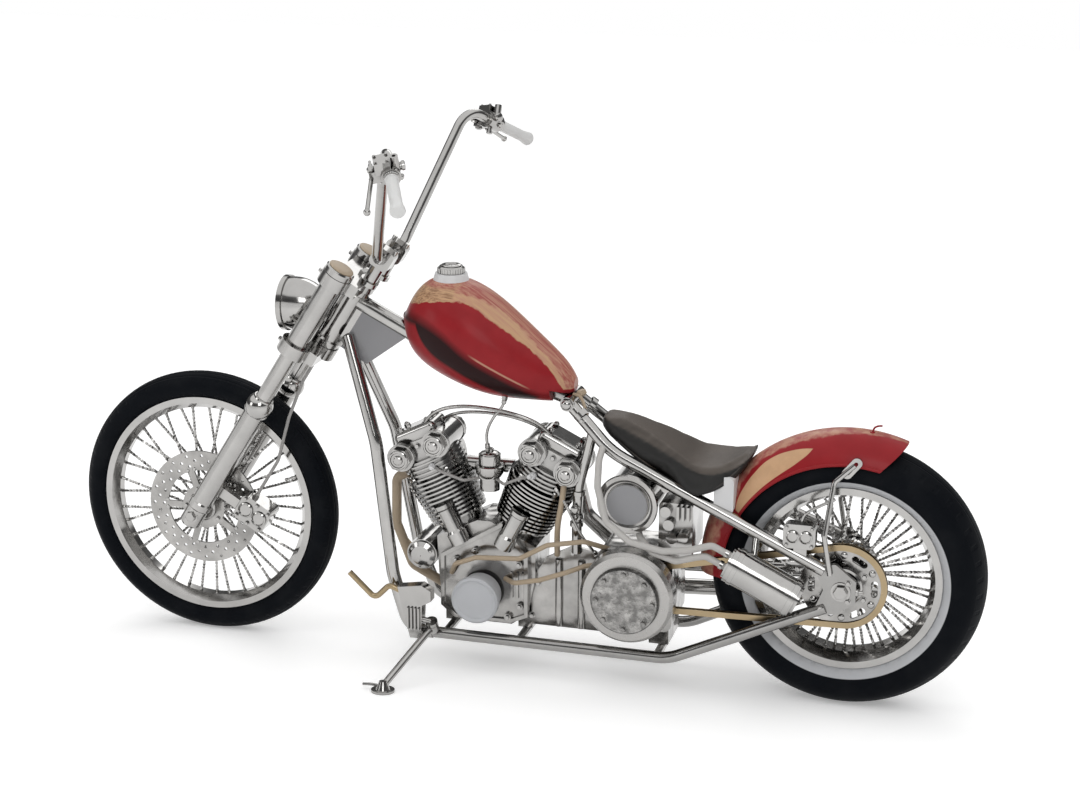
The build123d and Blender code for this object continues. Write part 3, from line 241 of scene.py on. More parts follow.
# Materials
CHROME = (0.450, 0.442, 0.430)
STEEL = (0.45, 0.44, 0.426)
DARK_STEEL = (0.17, 0.167, 0.161)
FLAT_GREY = (0.27, 0.27, 0.28)
# Tint factor of the painted shade that darkens metal in corners and crevices
PAINTED_SHADE = 0.24


def plated(name, tint, smooth, rough, ripple, dull=0.86):
    """Plated metal: patchy polish, painted shade darkening the corners and a ripple in the reflections."""
    shader = Shader(name)
    patches = shader.ramp(shader.noise(16, 5, 0.6), 0, 1, 0.3, 0.7)
    metal = shader.mix(patches, scaled(tint, dull), tint)
    # Painted shade: the base colour darkens where faces are closed in by corners
    painted_shade_mask = shader.ramp(shader.open_sky(0.030), 0, 1, 0.15, 0.75)
    shader.set(base_color=shader.mix(painted_shade_mask, scaled(tint, PAINTED_SHADE), metal), metallic=1.0)
    shader.set(roughness=shader.ramp(shader.noise(30, 2), smooth, rough, 0.2, 0.8))
    shader.set(normal=shader.bump(shader.noise(11, 2), ripple, 0.020))
    return shader.material


BLACK_RUBBER = (0.003, 0.004, 0.006)
DUSTY_RUBBER = (0.008, 0.009, 0.011)
PALE_RUBBER = (0.60, 0.61, 0.63)
WHITEWALL = (0.215, 0.242, 0.040)  # inner and outer radius, least distance from the middle plane


def tyre(name, x, height, grooves, notches, whitewall=None):
    """Black rubber with grooves round the tread, notched shoulders and, if given, a pale ring by the rim."""
    shader = Shader(name)
    place = shader.bike_place()
    radius, angle, side = shader.round_axle(place, x, height)
    tone = shader.mix(shader.ramp(shader.noise(14, 5), 0, 1, 0.45, 0.8), BLACK_RUBBER, DUSTY_RUBBER)
    if whitewall:
        inner, outer, reach = whitewall
        ring = shader.both(shader.between(radius, inner, outer, 0.0008), shader.above(side, reach, 0.001))
        pale = shader.mix(shader.noise(20, 4), PALE_RUBBER, scaled(PALE_RUBBER, 0.8))
        tone = shader.mix(ring, tone, pale)
    depth = shader.noise(700, 2)
    for groove in grooves:
        cut = shader.between(side, groove - 0.0015, groove + 0.0015, 0.0012)
        depth = shader.math("SUBTRACT", depth, shader.math("MULTIPLY", cut, 6.0))
    count, low, high = notches
    wave = shader.math("SINE", shader.math("MULTIPLY", angle, count))
    notch = shader.both(shader.ramp(wave, 0, 1, 0.55, 0.85), shader.between(side, low, high, 0.004))
    depth = shader.math("SUBTRACT", depth, shader.math("MULTIPLY", notch, 6.0))
    shader.set(base_color=tone, roughness=shader.ramp(shader.noise(40, 3), 0.50, 0.66))
    shader.set(normal=shader.bump(depth, 0.5, 0.0005))
    shader.shine(0.06)
    return shader.material


RED = (0.33, 0.021, 0.026)
DEEP_RED = (0.235, 0.014, 0.018)
DARK_RED = (0.016, 0.002, 0.0025)
WORN_RED = (0.34, 0.085, 0.075)
WORN_TAN = (0.49, 0.26, 0.18)
TAN = (0.54, 0.335, 0.195)
DARK_TAN = (0.30, 0.165, 0.095)

# Edges of the tank's airbrushed areas: (forward, up) in metres of the upright frame
BAND_LOW = [(0.680, 0.718), (0.714, 0.775), (0.781, 0.835), (0.844, 0.881), (0.913, 0.921), (0.950, 0.924),
            (1.056, 0.903)]
BAND_HIGH = [(0.674, 0.720), (0.690, 0.759), (0.753, 0.827), (0.824, 0.890), (0.868, 0.919), (0.930, 0.940)]
SHADE_LOW = [(0.730, 0.702), (0.770, 0.688), (0.850, 0.718), (0.930, 0.762), (0.990, 0.800), (1.030, 0.862)]
SHADE_HIGH = [(0.730, 0.704), (0.820, 0.757), (0.900, 0.806), (0.970, 0.858), (1.030, 0.880)]
GLINT_ENDS = (0.762, 0.880)
GLINT_HEIGHTS = (0.006, 0.011)
PATCH_BACK = 0.940
CROWN_HEIGHT = 0.948
TANK_SLOPE = math.radians(38)


def painted(shader, tone, rough):
    """Gives a paint's tone its gloss."""
    shader.set(base_color=tone)
    shader.set(roughness=shader.ramp(shader.noise(70, 3), rough, rough + 0.14))
    shader.set(normal=shader.bump(shader.noise(16, 2), 0.04, 0.002))
    shader.coat(0.03, 0.08)
    shader.shine(0.12)
    return shader.material


def tank_paint():
    """Red flank with a dark airbrushed hollow, a tan band above it and a worn, streaked top."""
    shader = Shader("tank_paint")
    place = shader.bike_place()
    x, _, z = shader.split(place)
    along_band = shader.stretched(place, TANK_SLOPE, 0.110, 0.007)
    grain = shader.noise(1.0, 5, 0.6, along_band)
    ragged = shader.math("ADD", z, shader.ramp(shader.noise(55, 4), -0.0025, 0.0025, 0.3, 0.7))
    tone = shader.mix(shader.noise(24, 4), DEEP_RED, RED)
    shade_high = shader.line(x, SHADE_HIGH)
    shade = shader.both(shader.above(z, shader.line(x, SHADE_LOW), 0.006), shader.below(z, shade_high, 0.014))
    tone = shader.mix(shade, tone, DARK_RED)
    over_shade = shader.math("SUBTRACT", z, shade_high)
    glint = shader.both(shader.between(over_shade, *GLINT_HEIGHTS, 0.0015),
                        shader.between(x, *GLINT_ENDS, 0.012))
    tone = shader.mix(glint, tone, WORN_TAN)
    top = shader.mix(shader.ramp(grain, 0, 1, 0.36, 0.64), WORN_RED, WORN_TAN)
    band = shader.mix(shader.ramp(grain, 0, 1, 0.35, 0.6), WORN_TAN, TAN)
    streaks = shader.noise(1.0, 6, 0.65, shader.stretched(place, 0.1, 0.070, 0.005))
    patch = shader.mix(shader.ramp(streaks, 0, 1, 0.42, 0.56), DARK_TAN, TAN)
    over_low = shader.above(ragged, shader.line(x, BAND_LOW), 0.0015)
    over_high = shader.above(ragged, shader.line(x, BAND_HIGH), 0.002)
    tone = shader.mix(over_low, tone, band)
    tone = shader.mix(shader.both(over_high, shader.below(x, PATCH_BACK, 0.012)), tone, top)
    tone = shader.mix(shader.both(over_low, shader.above(x, PATCH_BACK, 0.004)), tone, patch)
    crown = shader.both(shader.above(z, CROWN_HEIGHT, 0.004), shader.above(x, PATCH_BACK, 0.004))
    tone = shader.mix(crown, tone, top)
    return painted(shader, tone, 0.26)


# Edges of the mudguard's patch and worn crown: (degrees round the axle, degrees round the section)
LEAF_OUTER = [(31, 71), (47, 69.5), (61, 65), (68, 58.6), (74.5, 44)]
LEAF_INNER = [(31, 64), (36, 55), (41.3, 49), (48, 42), (57.5, 35), (66, 37.5), (74.5, 43.5)]
CROWN_EDGE = [(0, 60), (35, 53), (41, 40), (49, 31), (58, 26.5), (75, 24.5), (88, 18), (95, 13), (111, 3)]
SECTION_CENTRE = 0.2611


def fender_paint():
    """Red mudguard with a tan leaf ahead of the strut and a worn crown."""
    shader = Shader("fender_paint")
    place = shader.bike_place()
    radius, angle, side = shader.round_axle(place, 0.0, AXLE_HEIGHT)
    around = shader.math("MULTIPLY", angle, math.degrees(1))
    section = shader.math("ARCTAN2", side, shader.math("SUBTRACT", radius, SECTION_CENTRE))
    flank = shader.math("MULTIPLY", section, math.degrees(1))
    ragged = shader.math("ADD", flank, shader.ramp(shader.noise(50, 4), -2.5, 2.5, 0.3, 0.7))
    tone = shader.mix(shader.noise(24, 4), DEEP_RED, RED)
    grain = shader.noise(40, 5, 0.6)
    crown = shader.below(ragged, shader.line(around, CROWN_EDGE), 2.0)
    tone = shader.mix(crown, tone, shader.mix(shader.ramp(grain, 0, 1, 0.36, 0.62), WORN_RED, WORN_TAN))
    leaf = shader.both(shader.above(flank, shader.line(around, LEAF_INNER), 0.5),
                       shader.below(flank, shader.line(around, LEAF_OUTER), 0.5),
                       shader.between(around, LEAF_OUTER[0][0], LEAF_OUTER[-1][0], 0.3))
    leaf_tan = shader.mix(shader.ramp(grain, 0, 1, 0.4, 0.6), TAN, scaled(TAN, 1.08))
    tone = shader.mix(leaf, tone, leaf_tan)
    return painted(shader, tone, 0.26)


def plain_red():
    """Red of the small painted parts."""
    shader = Shader("red_paint")
    return painted(shader, shader.mix(shader.noise(24, 4), DEEP_RED, RED), 0.28)


BLACK_HIDE = (0.007, 0.0065, 0.006)
# Colour of the painted sheen on the saddle's upward faces
PAINTED_SHEEN_HIDE = (0.095, 0.074, 0.058)


def leather(name):
    """Dark hide with a patchy painted sheen, paler and browner, where the saddle faces up."""
    shader = Shader(name)
    grain = shader.cells(360)
    upward = shader.ramp(shader.facing_up(), 0, 1, 0.35, 0.95)
    # Painted sheen: faces that point up are mixed towards the paler brown
    painted_sheen = shader.both(upward, shader.ramp(shader.noise(9, 4), 0.55, 1.0))
    shader.set(base_color=shader.mix(painted_sheen, BLACK_HIDE, PAINTED_SHEEN_HIDE))
    shader.set(roughness=shader.ramp(grain, 0.55, 0.40, 0.0, 0.3))
    shader.set(normal=shader.bump(shader.ramp(grain, 0, 1, 0.0, 0.12), 0.25, 0.0006))
    shader.shine(0.4)
    return shader.material


def satin(name, tint, rough):
    """Painted or moulded satin surface with faint mottling."""
    shader = Shader(name)
    shader.set(base_color=shader.mix(shader.noise(30, 4), scaled(tint, 0.9), tint))
    shader.set(roughness=shader.ramp(shader.noise(120, 3), rough, rough + 0.14))
    shader.set(normal=shader.bump(shader.noise(500, 2), 0.06, 0.0005))
    return shader.material


def part_painted(name, tint, paint, mask):
    """Plated metal with satin paint where the mask is 1."""
    shader = Shader(name)
    painted_here = mask(shader, shader.bike_place())
    metal = shader.mix(shader.noise(38, 4), scaled(tint, 0.86), tint)
    shader.set(base_color=shader.mix(painted_here, metal, paint))
    shader.set(metallic=shader.math("SUBTRACT", 1.0, painted_here))
    shader.set(roughness=shader.math("ADD", shader.ramp(shader.noise(90, 3), 0.07, 0.18, 0.35, 0.7),
                                     shader.math("MULTIPLY", painted_here, 0.35)))
    shader.set(normal=shader.bump(shader.noise(60, 2), 0.05, 0.002))
    return shader.material


CLUTCH = (0.494, 0.260)
CLUTCH_PLATE = 0.0805
CLUTCH_SEAM = 0.0022


def clutch_metal():
    """Brushed drum with a darker, pitted plate bolted on its face."""
    shader = Shader("clutch_metal")
    radius, _, _ = shader.round_axle(shader.bike_place(), *CLUTCH)
    plate = shader.below(radius, CLUTCH_PLATE, 0.0008)
    rings = shader.math("SINE", shader.math("MULTIPLY", radius, 2600.0))
    drum = shader.mix(shader.ramp(rings, 0.0, 1.0, -1, 1), scaled(STEEL, 0.82), STEEL)
    pits = shader.ramp(shader.noise(55, 5, 0.65), 0, 1, 0.36, 0.66)
    metal = shader.mix(plate, drum, shader.mix(pits, DARK_STEEL, STEEL))
    seam = shader.between(radius, CLUTCH_PLATE - CLUTCH_SEAM, CLUTCH_PLATE, 0.0008)
    metal = shader.mix(seam, metal, scaled(DARK_STEEL, 0.3))
    # Painted shade: the base colour darkens in corners and round the plate's raised edge
    painted_shade_mask = shader.ramp(shader.open_sky(0.020), 0, 1, 0.15, 0.75)
    shader.set(base_color=shader.mix(painted_shade_mask, scaled(STEEL, PAINTED_SHADE), metal), metallic=1.0)
    brushed = shader.ramp(shader.noise(40, 3), 0.20, 0.34)
    shader.set(roughness=shader.math("SUBTRACT", brushed, shader.math("MULTIPLY", plate, 0.12)))
    shader.set(normal=shader.bump(shader.math("MULTIPLY", pits, plate), 0.55, 0.004))
    return shader.material


def glass(name):
    """Clear lens with fluting across it."""
    shader = Shader(name)
    _, side, _ = shader.split(shader.bike_place())
    shader.set(base_color=(0.93, 0.95, 0.97), metallic=0.0)
    shader.set(roughness=shader.ramp(shader.noise(60, 2), 0.02, 0.06))
    flutes = shader.math("SINE", shader.math("MULTIPLY", side, 900.0))
    shader.set(normal=shader.bump(flutes, 0.5, 0.001))
    shader.surface.inputs["Transmission Weight"].default_value = 0.9
    shader.surface.inputs["IOR"].default_value = 1.46
    return shader.material


OIL_TANK = (0.505, 0.476)
OIL_DISC = 0.049
GUSSET_START = 0.040


def oil_disc(shader, place):
    """The flat disc in the end of the oil tank."""
    radius, _, side = shader.round_axle(place, *OIL_TANK)
    return shader.both(shader.below(radius, OIL_DISC, 0.0006), shader.above(side, 0.113, 0.001))


def gusset_face(shader, place):
    """What lies behind the steering head, measured back from the steering axis."""
    pivot = BIKE_BACK @ Vector(JOINTS["steering"]["pos_m"])
    axis = BIKE_BACK.to_3x3() @ Vector(JOINTS["steering"]["axis"]).normalized()
    x, _, z = shader.split(place)
    forward = shader.math("MULTIPLY", shader.math("SUBTRACT", x, pivot.x), axis.z)
    upward = shader.math("MULTIPLY", shader.math("SUBTRACT", z, pivot.z), axis.x)
    return shader.below(shader.math("SUBTRACT", forward, upward), -GUSSET_START, 0.0006)


MATERIALS = {
    "chrome": plated("chrome", CHROME, 0.07, 0.18, 0.06),
    "satin_steel": plated("satin_steel", STEEL, 0.14, 0.26, 0.45, 0.62),
    "brassy_steel": plated("brassy_steel", (0.40, 0.31, 0.19), 0.24, 0.40, 0.08),
    "tyre": tyre("front_rubber", WHEELBASE, FRONT_HEIGHT, (0.0, 0.012, 0.024), (60, 0.030, 0.036)),
    "red_paint": plain_red(),
    "leather": leather("leather"),
    "white_rubber": satin("white_rubber", (0.74, 0.74, 0.73), 0.38),
    "white_paint": satin("white_paint", (0.70, 0.70, 0.705), 0.34),
    "frosted_cover": satin("frosted_cover", (0.50, 0.51, 0.53), 0.36),
    "lens": glass("lens"),
    "tan_line": satin("tan_line", (0.42, 0.33, 0.23), 0.40),
    "grey_hose": satin("grey_hose", (0.50, 0.485, 0.465), 0.40),
    "grey_lead": satin("grey_lead", (0.33, 0.32, 0.31), 0.40),
}
NODE_MATERIALS = {
    "rear_tyre": tyre("rear_rubber", 0.0, AXLE_HEIGHT, (0.0, 0.022), (48, 0.040, 0.056), WHITEWALL),
    "fuel_tank": tank_paint(),
    "rear_fender": fender_paint(),
    "oil_tank": part_painted("oil_tank_metal", STEEL, FLAT_GREY, oil_disc),
    "clutch": clutch_metal(),
    "frame_neck": part_painted("neck_metal", CHROME, FLAT_GREY, gusset_face),
    "frame_rails": plated("rail_metal", scaled(CHROME, 0.78), 0.10, 0.22, 0.06),
}
SMOOTH_ANGLE = math.radians(32)


def dress(mesh, material):
    """Gives a mesh its material and smooth shading between sharp edges."""
    mesh.materials.clear()
    mesh.materials.append(material)
    mesh.shade_smooth()
    mesh.set_sharp_from_angle(angle=SMOOTH_ANGLE)


for part in frame["record"]["subparts"]:
    name = part["node"]
    dress(NODES[name].data, NODE_MATERIALS.get(name, MATERIALS[part["material_slot"]]))


# Mesh helpers
TWIST_STEP = 4
DIAGONAL = 1.414


def circle(steps):
    """Cosine and sine at equal steps round a circle."""
    return [(math.cos(math.tau * k / steps), math.sin(math.tau * k / steps)) for k in range(steps)]


class Form:
    """Points and faces of one piece, in millimetres of the machine's upright frame."""

    def __init__(self):
        self.points = []
        self.faces = []

    def strip(self, rings, hoop=False):
        """A skin over rings of points, closed at both ends, or joined end to end as a hoop."""
        start, size = len(self.points), len(rings[0])
        for ring in rings:
            self.points.extend(ring)
        count = len(rings) if hoop else len(rings) - 1
        for row in range(count):
            near, far = start + row * size, start + (row + 1) % len(rings) * size
            for k in range(size):
                after = (k + 1) % size
                self.faces.append((near + k, near + after, far + after, far + k))
        if not hoop:
            last = start + (len(rings) - 1) * size
            self.faces.append(tuple(range(start + size - 1, start - 1, -1)))
            self.faces.append(tuple(range(last, last + size)))
        return self

    def lathe(self, place, outline, steps=32, hoop=False):
        """A turned form round the place's z axis; outline holds (radius, height) corners."""
        turns = circle(steps)
        return self.strip([[place @ Vector((r * c, r * s, h)) for c, s in turns] for r, h in outline], hoop)

    def collar(self, place, inner, outer, length, steps):
        """A plain ring round the place's z axis."""
        return self.lathe(place, [(inner, 0), (outer, 0), (outer, length), (inner, length)], steps, hoop=True)

    def bolt(self, place, radius, height):
        """A hexagon head with a washer under it and a chamfered top."""
        self.lathe(place, [(1.35 * radius, 0), (1.35 * radius, 0.22 * height)], 20)
        outline = [(radius, 0.22 * height), (radius, 0.88 * height), (0.86 * radius, height)]
        return self.lathe(place, outline, 6)

    def dome_nut(self, place, radius, height):
        """A hexagon nut with a domed cap."""
        self.lathe(place, [(radius, 0), (radius, 0.45 * height), (0.9 * radius, 0.5 * height)], 6)
        dome = []
        for angle in (0, 0.4, 0.8, 1.15, 1.45):
            dome.append((0.82 * radius * math.cos(angle), (0.45 + 0.55 * math.sin(angle)) * height))
        return self.lathe(place, dome, 20)

    def tube(self, points, radius, steps=12, rounds=4):
        """A round line through points, smoothed by cutting its corners."""
        line = [Vector(p) for p in points]
        for _ in range(rounds):
            cut = [line[0]]
            for a, b in zip(line, line[1:]):
                cut += [a.lerp(b, 0.25), a.lerp(b, 0.75)]
            line = cut + [line[-1]]
        rings = []
        normal = (line[1] - line[0]).orthogonal().normalized()
        for k, point in enumerate(line):
            run = line[min(k + 1, len(line) - 1)] - line[max(k - 1, 0)]
            run.normalize()
            normal = (normal - run * normal.dot(run)).normalized()
            side = run.cross(normal)
            rings.append([point + (normal * c + side * s) * radius for c, s in circle(steps)])
        return self.strip(rings)

    def twisted_bar(self, start, end, half, pitch):
        """A square bar twisted once in each pitch of its length."""
        run = end - start
        place = facing(start, run)
        count = max(2, round(run.length / TWIST_STEP))
        reach = half * DIAGONAL
        rings = []
        for k in range(count + 1):
            height = run.length * k / count
            turn = math.tau * height / pitch
            corners = [turn + math.pi / 4 + math.pi / 2 * c for c in range(4)]
            ring = [Vector((reach * math.cos(a), reach * math.sin(a), height)) for a in corners]
            rings.append([place @ corner for corner in ring])
        return self.strip(rings)

    def make(self, name, body, slot, *replaced):
        """The finished piece, which rides on a body and takes the finish of a slot."""
        mesh = bpy.data.meshes.new(name)
        mesh.from_pydata([BIKE @ (Vector(point) * MM) for point in self.points], [], self.faces)
        skin = bmesh.new()
        skin.from_mesh(mesh)
        bmesh.ops.recalc_face_normals(skin, faces=skin.faces)
        skin.to_mesh(mesh)
        skin.free()
        return add_piece(name, mesh, body, slot, *replaced)


def add_piece(name, mesh, body, slot, *replaced):
    """Puts a mesh in the scene as a piece of a body, with a slot's finish."""
    piece = bpy.data.objects.new(name, mesh)
    bpy.context.scene.collection.objects.link(piece)
    dress(mesh, MATERIALS[slot])
    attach(piece, body)
    if replaced:
        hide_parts(*replaced)
    return piece


def facing(origin, axis):
    """A place whose z axis points along the given one."""
    turn = Vector(axis).to_track_quat("Z", "Y").to_matrix().to_4x4()
    return Matrix.Translation(Vector(origin)) @ turn


def outward(x, z, y):
    """A place on a side face of the machine, facing away from its middle plane."""
    return facing((x, y, z), (0, 1 if y > 0 else -1, 0))


# Wheels
FRONT_CENTRE = Vector((WHEELBASE, 0, FRONT_HEIGHT)) / MM
REAR_CENTRE = Vector((0, 0, AXLE_HEIGHT)) / MM
SPOKE_LEAN = math.radians(14)
SPOKE_HALF = 2.6
SPOKE_PITCH = 36
RIM_WELL = 30.2
NIPPLE_LENGTH = 12
AXLE_RADIUS = 10
VALVE_ANGLE = math.radians(200)

# Turned outlines: (radius, height) corners
NIPPLE = [(4.2, 0), (4.2, 4), (3.3, 5), (3.3, NIPPLE_LENGTH), (2.6, NIPPLE_LENGTH + 1)]
SPOKE_HEAD = [(4, 3.5), (4, 6), (2, 7.5)]
VALVE = [(6, 0), (6, 3), (4, 4), (4, 18), (3, 19), (3, 26), (4, 27), (4, 34), (3, 35)]

# body, centre, rim flange radius, rim half width, spokes, barrel, hub flange, flange place, half length
WHEELS = [
    ("front_wheel", FRONT_CENTRE, 280, 26, 40, 28, 46, 34, 62),
    ("rear_wheel", REAR_CENTRE, 222, 48, 52, 40, 66, 46, 108),
]


def round_wheel(centre, radius, angle, y):
    """A point round a wheel's axle, at a distance to the left of its middle plane."""
    return centre + Vector((radius * math.cos(angle), y, -radius * math.sin(angle)))


def laced_hub(body, centre, flange, rim_half, spokes, barrel, hub_flange, flange_y, half_length):
    """A turned hub with twisted square spokes, their nipples and the valve stem."""
    form = Form()
    end = barrel + 6
    half = [
        (barrel, 0), (barrel, flange_y - 16), (barrel + 4, flange_y - 9), (hub_flange - 3, flange_y - 5),
        (hub_flange, flange_y - 3), (hub_flange, flange_y + 3), (hub_flange - 2, flange_y + 4.5),
        (end + 4, flange_y + 5), (end, flange_y + 9), (end, half_length - 4), (end - 4, half_length),
        (AXLE_RADIUS, half_length),
    ]
    outline = [(r, -h) for r, h in reversed(half[1:])] + half
    form.lathe(facing(centre, (0, 1, 0)), outline, 48)
    well = flange - RIM_WELL
    for i in range(spokes):
        side = 1 if i % 2 else -1
        angle = math.tau * i / spokes
        nipple_y = side * 0.2 * rim_half
        seat = round_wheel(centre, well, angle, nipple_y)
        foot = round_wheel(centre, hub_flange - 6, angle + side * SPOKE_LEAN, side * flange_y)
        inward = (foot - seat).normalized()
        form.twisted_bar(foot, seat + inward * NIPPLE_LENGTH * 0.6, SPOKE_HALF, SPOKE_PITCH)
        form.lathe(facing(seat, inward), NIPPLE, 8)
        form.lathe(facing(foot, (0, side, 0)), SPOKE_HEAD, 10)
    valve = round_wheel(centre, well, VALVE_ANGLE, 0)
    form.lathe(facing(valve, centre - valve), VALVE, 12)
    form.make(body + "_lacing", body, "chrome", body.replace("wheel", "hub"))


for wheel in WHEELS:
    laced_hub(*wheel)


# Seat
SEAT_VOXEL = 0.005
SEAT_SMOOTHING = 12
SEAT_PRESSURE = 4.0
SEAT_FRAMES = 20
SEAT_RISE = 0.007
SEAT_TAUTNESS = 12
SEAT_RIM_RADIUS = 4.5
SEAT_RIM = [  # x, y, z along the left half, nose to tail
    (590, 0, 646), (586, 20, 642), (572, 38, 631), (552, 50, 614), (500, 67, 580), (440, 83, 548),
    (385, 99, 524), (335, 113, 514), (292, 107, 534), (258, 84, 566), (238, 48, 590), (232, 0, 598),
]


def apply_modifiers(piece):
    """Bakes a piece's modifiers into its mesh."""
    graph = bpy.context.evaluated_depsgraph_get()
    mesh = bpy.data.meshes.new_from_object(piece.evaluated_get(graph))
    piece.modifiers.clear()
    piece.data = mesh


def make_seat():
    """The saddle's padded cover: the solid's shape with softened edges, then swollen by cloth pressure."""
    piece = add_piece("saddle", NODES["seat"].data.copy(), "frame", "leather", "seat")
    remesh = piece.modifiers.new("remesh", "REMESH")
    remesh.mode = "VOXEL"
    remesh.voxel_size = SEAT_VOXEL
    smooth = piece.modifiers.new("smooth", "SMOOTH")
    smooth.factor = 0.5
    smooth.iterations = SEAT_SMOOTHING
    apply_modifiers(piece)
    rest = [vertex.co.copy() for vertex in piece.data.vertices]
    cloth = piece.modifiers.new("cloth", "CLOTH")
    cloth.settings.use_pressure = True
    cloth.settings.uniform_pressure_force = SEAT_PRESSURE
    cloth.settings.effector_weights.gravity = 0
    cloth.point_cache.frame_end = SEAT_FRAMES
    for step in range(1, SEAT_FRAMES + 1):
        bpy.context.scene.frame_set(step)
    apply_modifiers(piece)
    for vertex, start in zip(piece.data.vertices, rest):
        move = vertex.co - start
        if move.length > SEAT_RISE:
            vertex.co = start + move.normalized() * SEAT_RISE
    bpy.context.scene.frame_set(1)
    taut = piece.modifiers.new("taut", "SMOOTH")
    taut.factor = 0.5
    taut.iterations = SEAT_TAUTNESS
    apply_modifiers(piece)
    dress(piece.data, MATERIALS["leather"])
    piece.modifiers.new("finer", "SUBSURF").levels = 1


def seat_rim():
    """Rolled edge of the saddle's cover, along the lower rim."""
    side = [Vector((x, y, z)) for x, y, z in SEAT_RIM]
    line = side + [Vector((p.x, -p.y, p.z)) for p in reversed(side[1:-1])]
    rings = []
    for k, point in enumerate(line):
        run = (line[(k + 1) % len(line)] - line[k - 1]).normalized()
        up = (Vector((0, 0, 1)) - run * run.z).normalized()
        out = run.cross(up)
        rings.append([point + (out * c + up * s) * SEAT_RIM_RADIUS for c, s in circle(10)])
    piece = Form().strip(rings, hoop=True).make("saddle_rim", "frame", "leather")
    piece.modifiers.new("finer", "SUBSURF").levels = 2


make_seat()
seat_rim()


# Places on the machine, in millimetres of its upright frame, as the part's source has them
RAKE = math.radians(32)
FORK_UP = Vector((-math.sin(RAKE), 0, math.cos(RAKE)))
FORK_FRONT = Vector((math.cos(RAKE), 0, math.sin(RAKE)))
LEG_SPREAD = 100
LOWER_TREE = 511
UPPER_TREE = 716
TREE_THICKNESS = 32
CAP_TOP = 766
CRANK = Vector((870, 0, 206))
V_HALF_ANGLE = math.radians(26)
CASE_FACE = 83
CASE_BOSSES = [(936, 281), (887, 308), (828, 336), (778, 284), (776, 176), (806, 146)]  # x, z
HEAD_BASE = 306
ROCKER_HEIGHT = 376
ROCKER_FACE = 88
LID_TOP = 430
BAR_ELBOW = Vector((1020, 295, 1318))
BAR_END = Vector((921, 498, 1216))
GRIP_LENGTH = 128
CONTROL_LENGTH = 44
PLATE_FACE = 132
CANISTER_FRONT = Vector((252, 154, 372))
CANISTER_REAR = Vector((100, 158, 302))


def fork_place(x, y, z, axis):
    """A place given in the fork's frame: x forward of the legs, y to the left, z up along them."""
    turn = Matrix((FORK_FRONT, Vector((0, 1, 0)), FORK_UP)).transposed()
    return facing(FRONT_CENTRE + turn @ Vector((x, y, z)), turn @ Vector(axis))


def cylinder_place(side, x, y, z, axis):
    """A place given in a cylinder's frame: z up its bore from the crank, y to the left."""
    tilt = side * V_HALF_ANGLE
    turn = Matrix(((math.cos(tilt), 0, math.sin(tilt)), (0, 1, 0), (-math.sin(tilt), 0, math.cos(tilt))))
    return facing(CRANK + turn @ Vector((x, y, z)), turn @ Vector(axis))


# Engine fittings, with turned outlines of (radius, height) corners
ROCKER_CAP = [(24, 0), (24, 3), (22, 4.5), (19, 4.5), (17.5, 2), (12, 2), (11, 7), (8, 9)]
ROCKER_RING = [(31, 0), (34, 0.8), (34, 3.2), (31, 4)]
INTAKE_LID = [(24, 0), (24, 3), (20, 6), (10, 8), (10, 14), (7, 16)]
INTAKE_CUP = [(24, 0), (29, 4), (34, 14), (36, 26), (36, 31), (33, 33), (27, 33), (24, 30)]
PLUG_HEXAGON = [(9, 0), (9, 8)]
PLUG_RIBS = [(5.5, 8), (5.5, 10), (7, 11), (5.5, 12), (7, 13.5), (5.5, 15), (7, 16.5), (5.5, 18), (5.5, 26),
             (3.5, 28)]
GEARBOX_BOLTS = [(590, 146), (592, 300), (650, 318), (736, 232), (752, 146)]  # x, z
GEARBOX_FACE = 54
GENERATOR = (1025.6, 283)
GENERATOR_CIRCLE = 27
GENERATOR_FACE = 79


def engine_fittings():
    """Bolts of the covers, rocker caps, lids and plates."""
    form = Form()
    for x, z in CASE_BOSSES:
        form.bolt(outward(x, z, CASE_FACE), 6, 6)
    for x, z in GEARBOX_BOLTS:
        form.bolt(outward(x, z, GEARBOX_FACE), 6, 7)
    for side in (1, -1):
        for x in (-50 * side, 48 * side):
            for end in (1, -1):
                cap = cylinder_place(side, x, end * ROCKER_FACE, ROCKER_HEIGHT, (0, end, 0))
                form.lathe(cap, ROCKER_CAP, 32)
                for ring in (-20, -26, -32):
                    form.lathe(cap @ Matrix.Translation((0, 0, ring)), ROCKER_RING, 40, hoop=True)
        for x in (-38, 38):
            for y in (-26, 26):
                form.dome_nut(cylinder_place(side, x, y, LID_TOP, (0, 0, 1)), 8, 11)
        for x, z in ((-22, 360), (22, 360), (0, 386)):
            for end in (1, -1):
                form.bolt(cylinder_place(side, x, end * 56, z, (0, end, 0)), 6, 7)
        for x in (-46, 46):
            form.bolt(cylinder_place(side, x, 62, HEAD_BASE - 8, (0, 0, 1)), 6, 16)
    for angle in (0.6, 2.7, 4.8):
        x = GENERATOR[0] + GENERATOR_CIRCLE * math.cos(angle)
        z = GENERATOR[1] + GENERATOR_CIRCLE * math.sin(angle)
        form.bolt(outward(x, z, GENERATOR_FACE), 4, 6)
    form.lathe(facing((864, 34, 542), (0, 0, 1)), INTAKE_LID, 28)
    form.lathe(facing((864, 34, 484), (0, 0, 1)), INTAKE_CUP, 40)
    form.make("engine_fittings", "frame", "chrome")


def spark_plugs():
    """Ribbed plug insulators with their hexagons, one in each head."""
    form = Form()
    for side in (1, -1):
        plug = cylinder_place(side, -20 * side, 72, HEAD_BASE + 24, (-0.25 * side, 1, 0))
        form.lathe(plug, PLUG_HEXAGON, 6)
        form.lathe(plug, PLUG_RIBS, 20)
    form.make("spark_plugs", "frame", "white_paint")


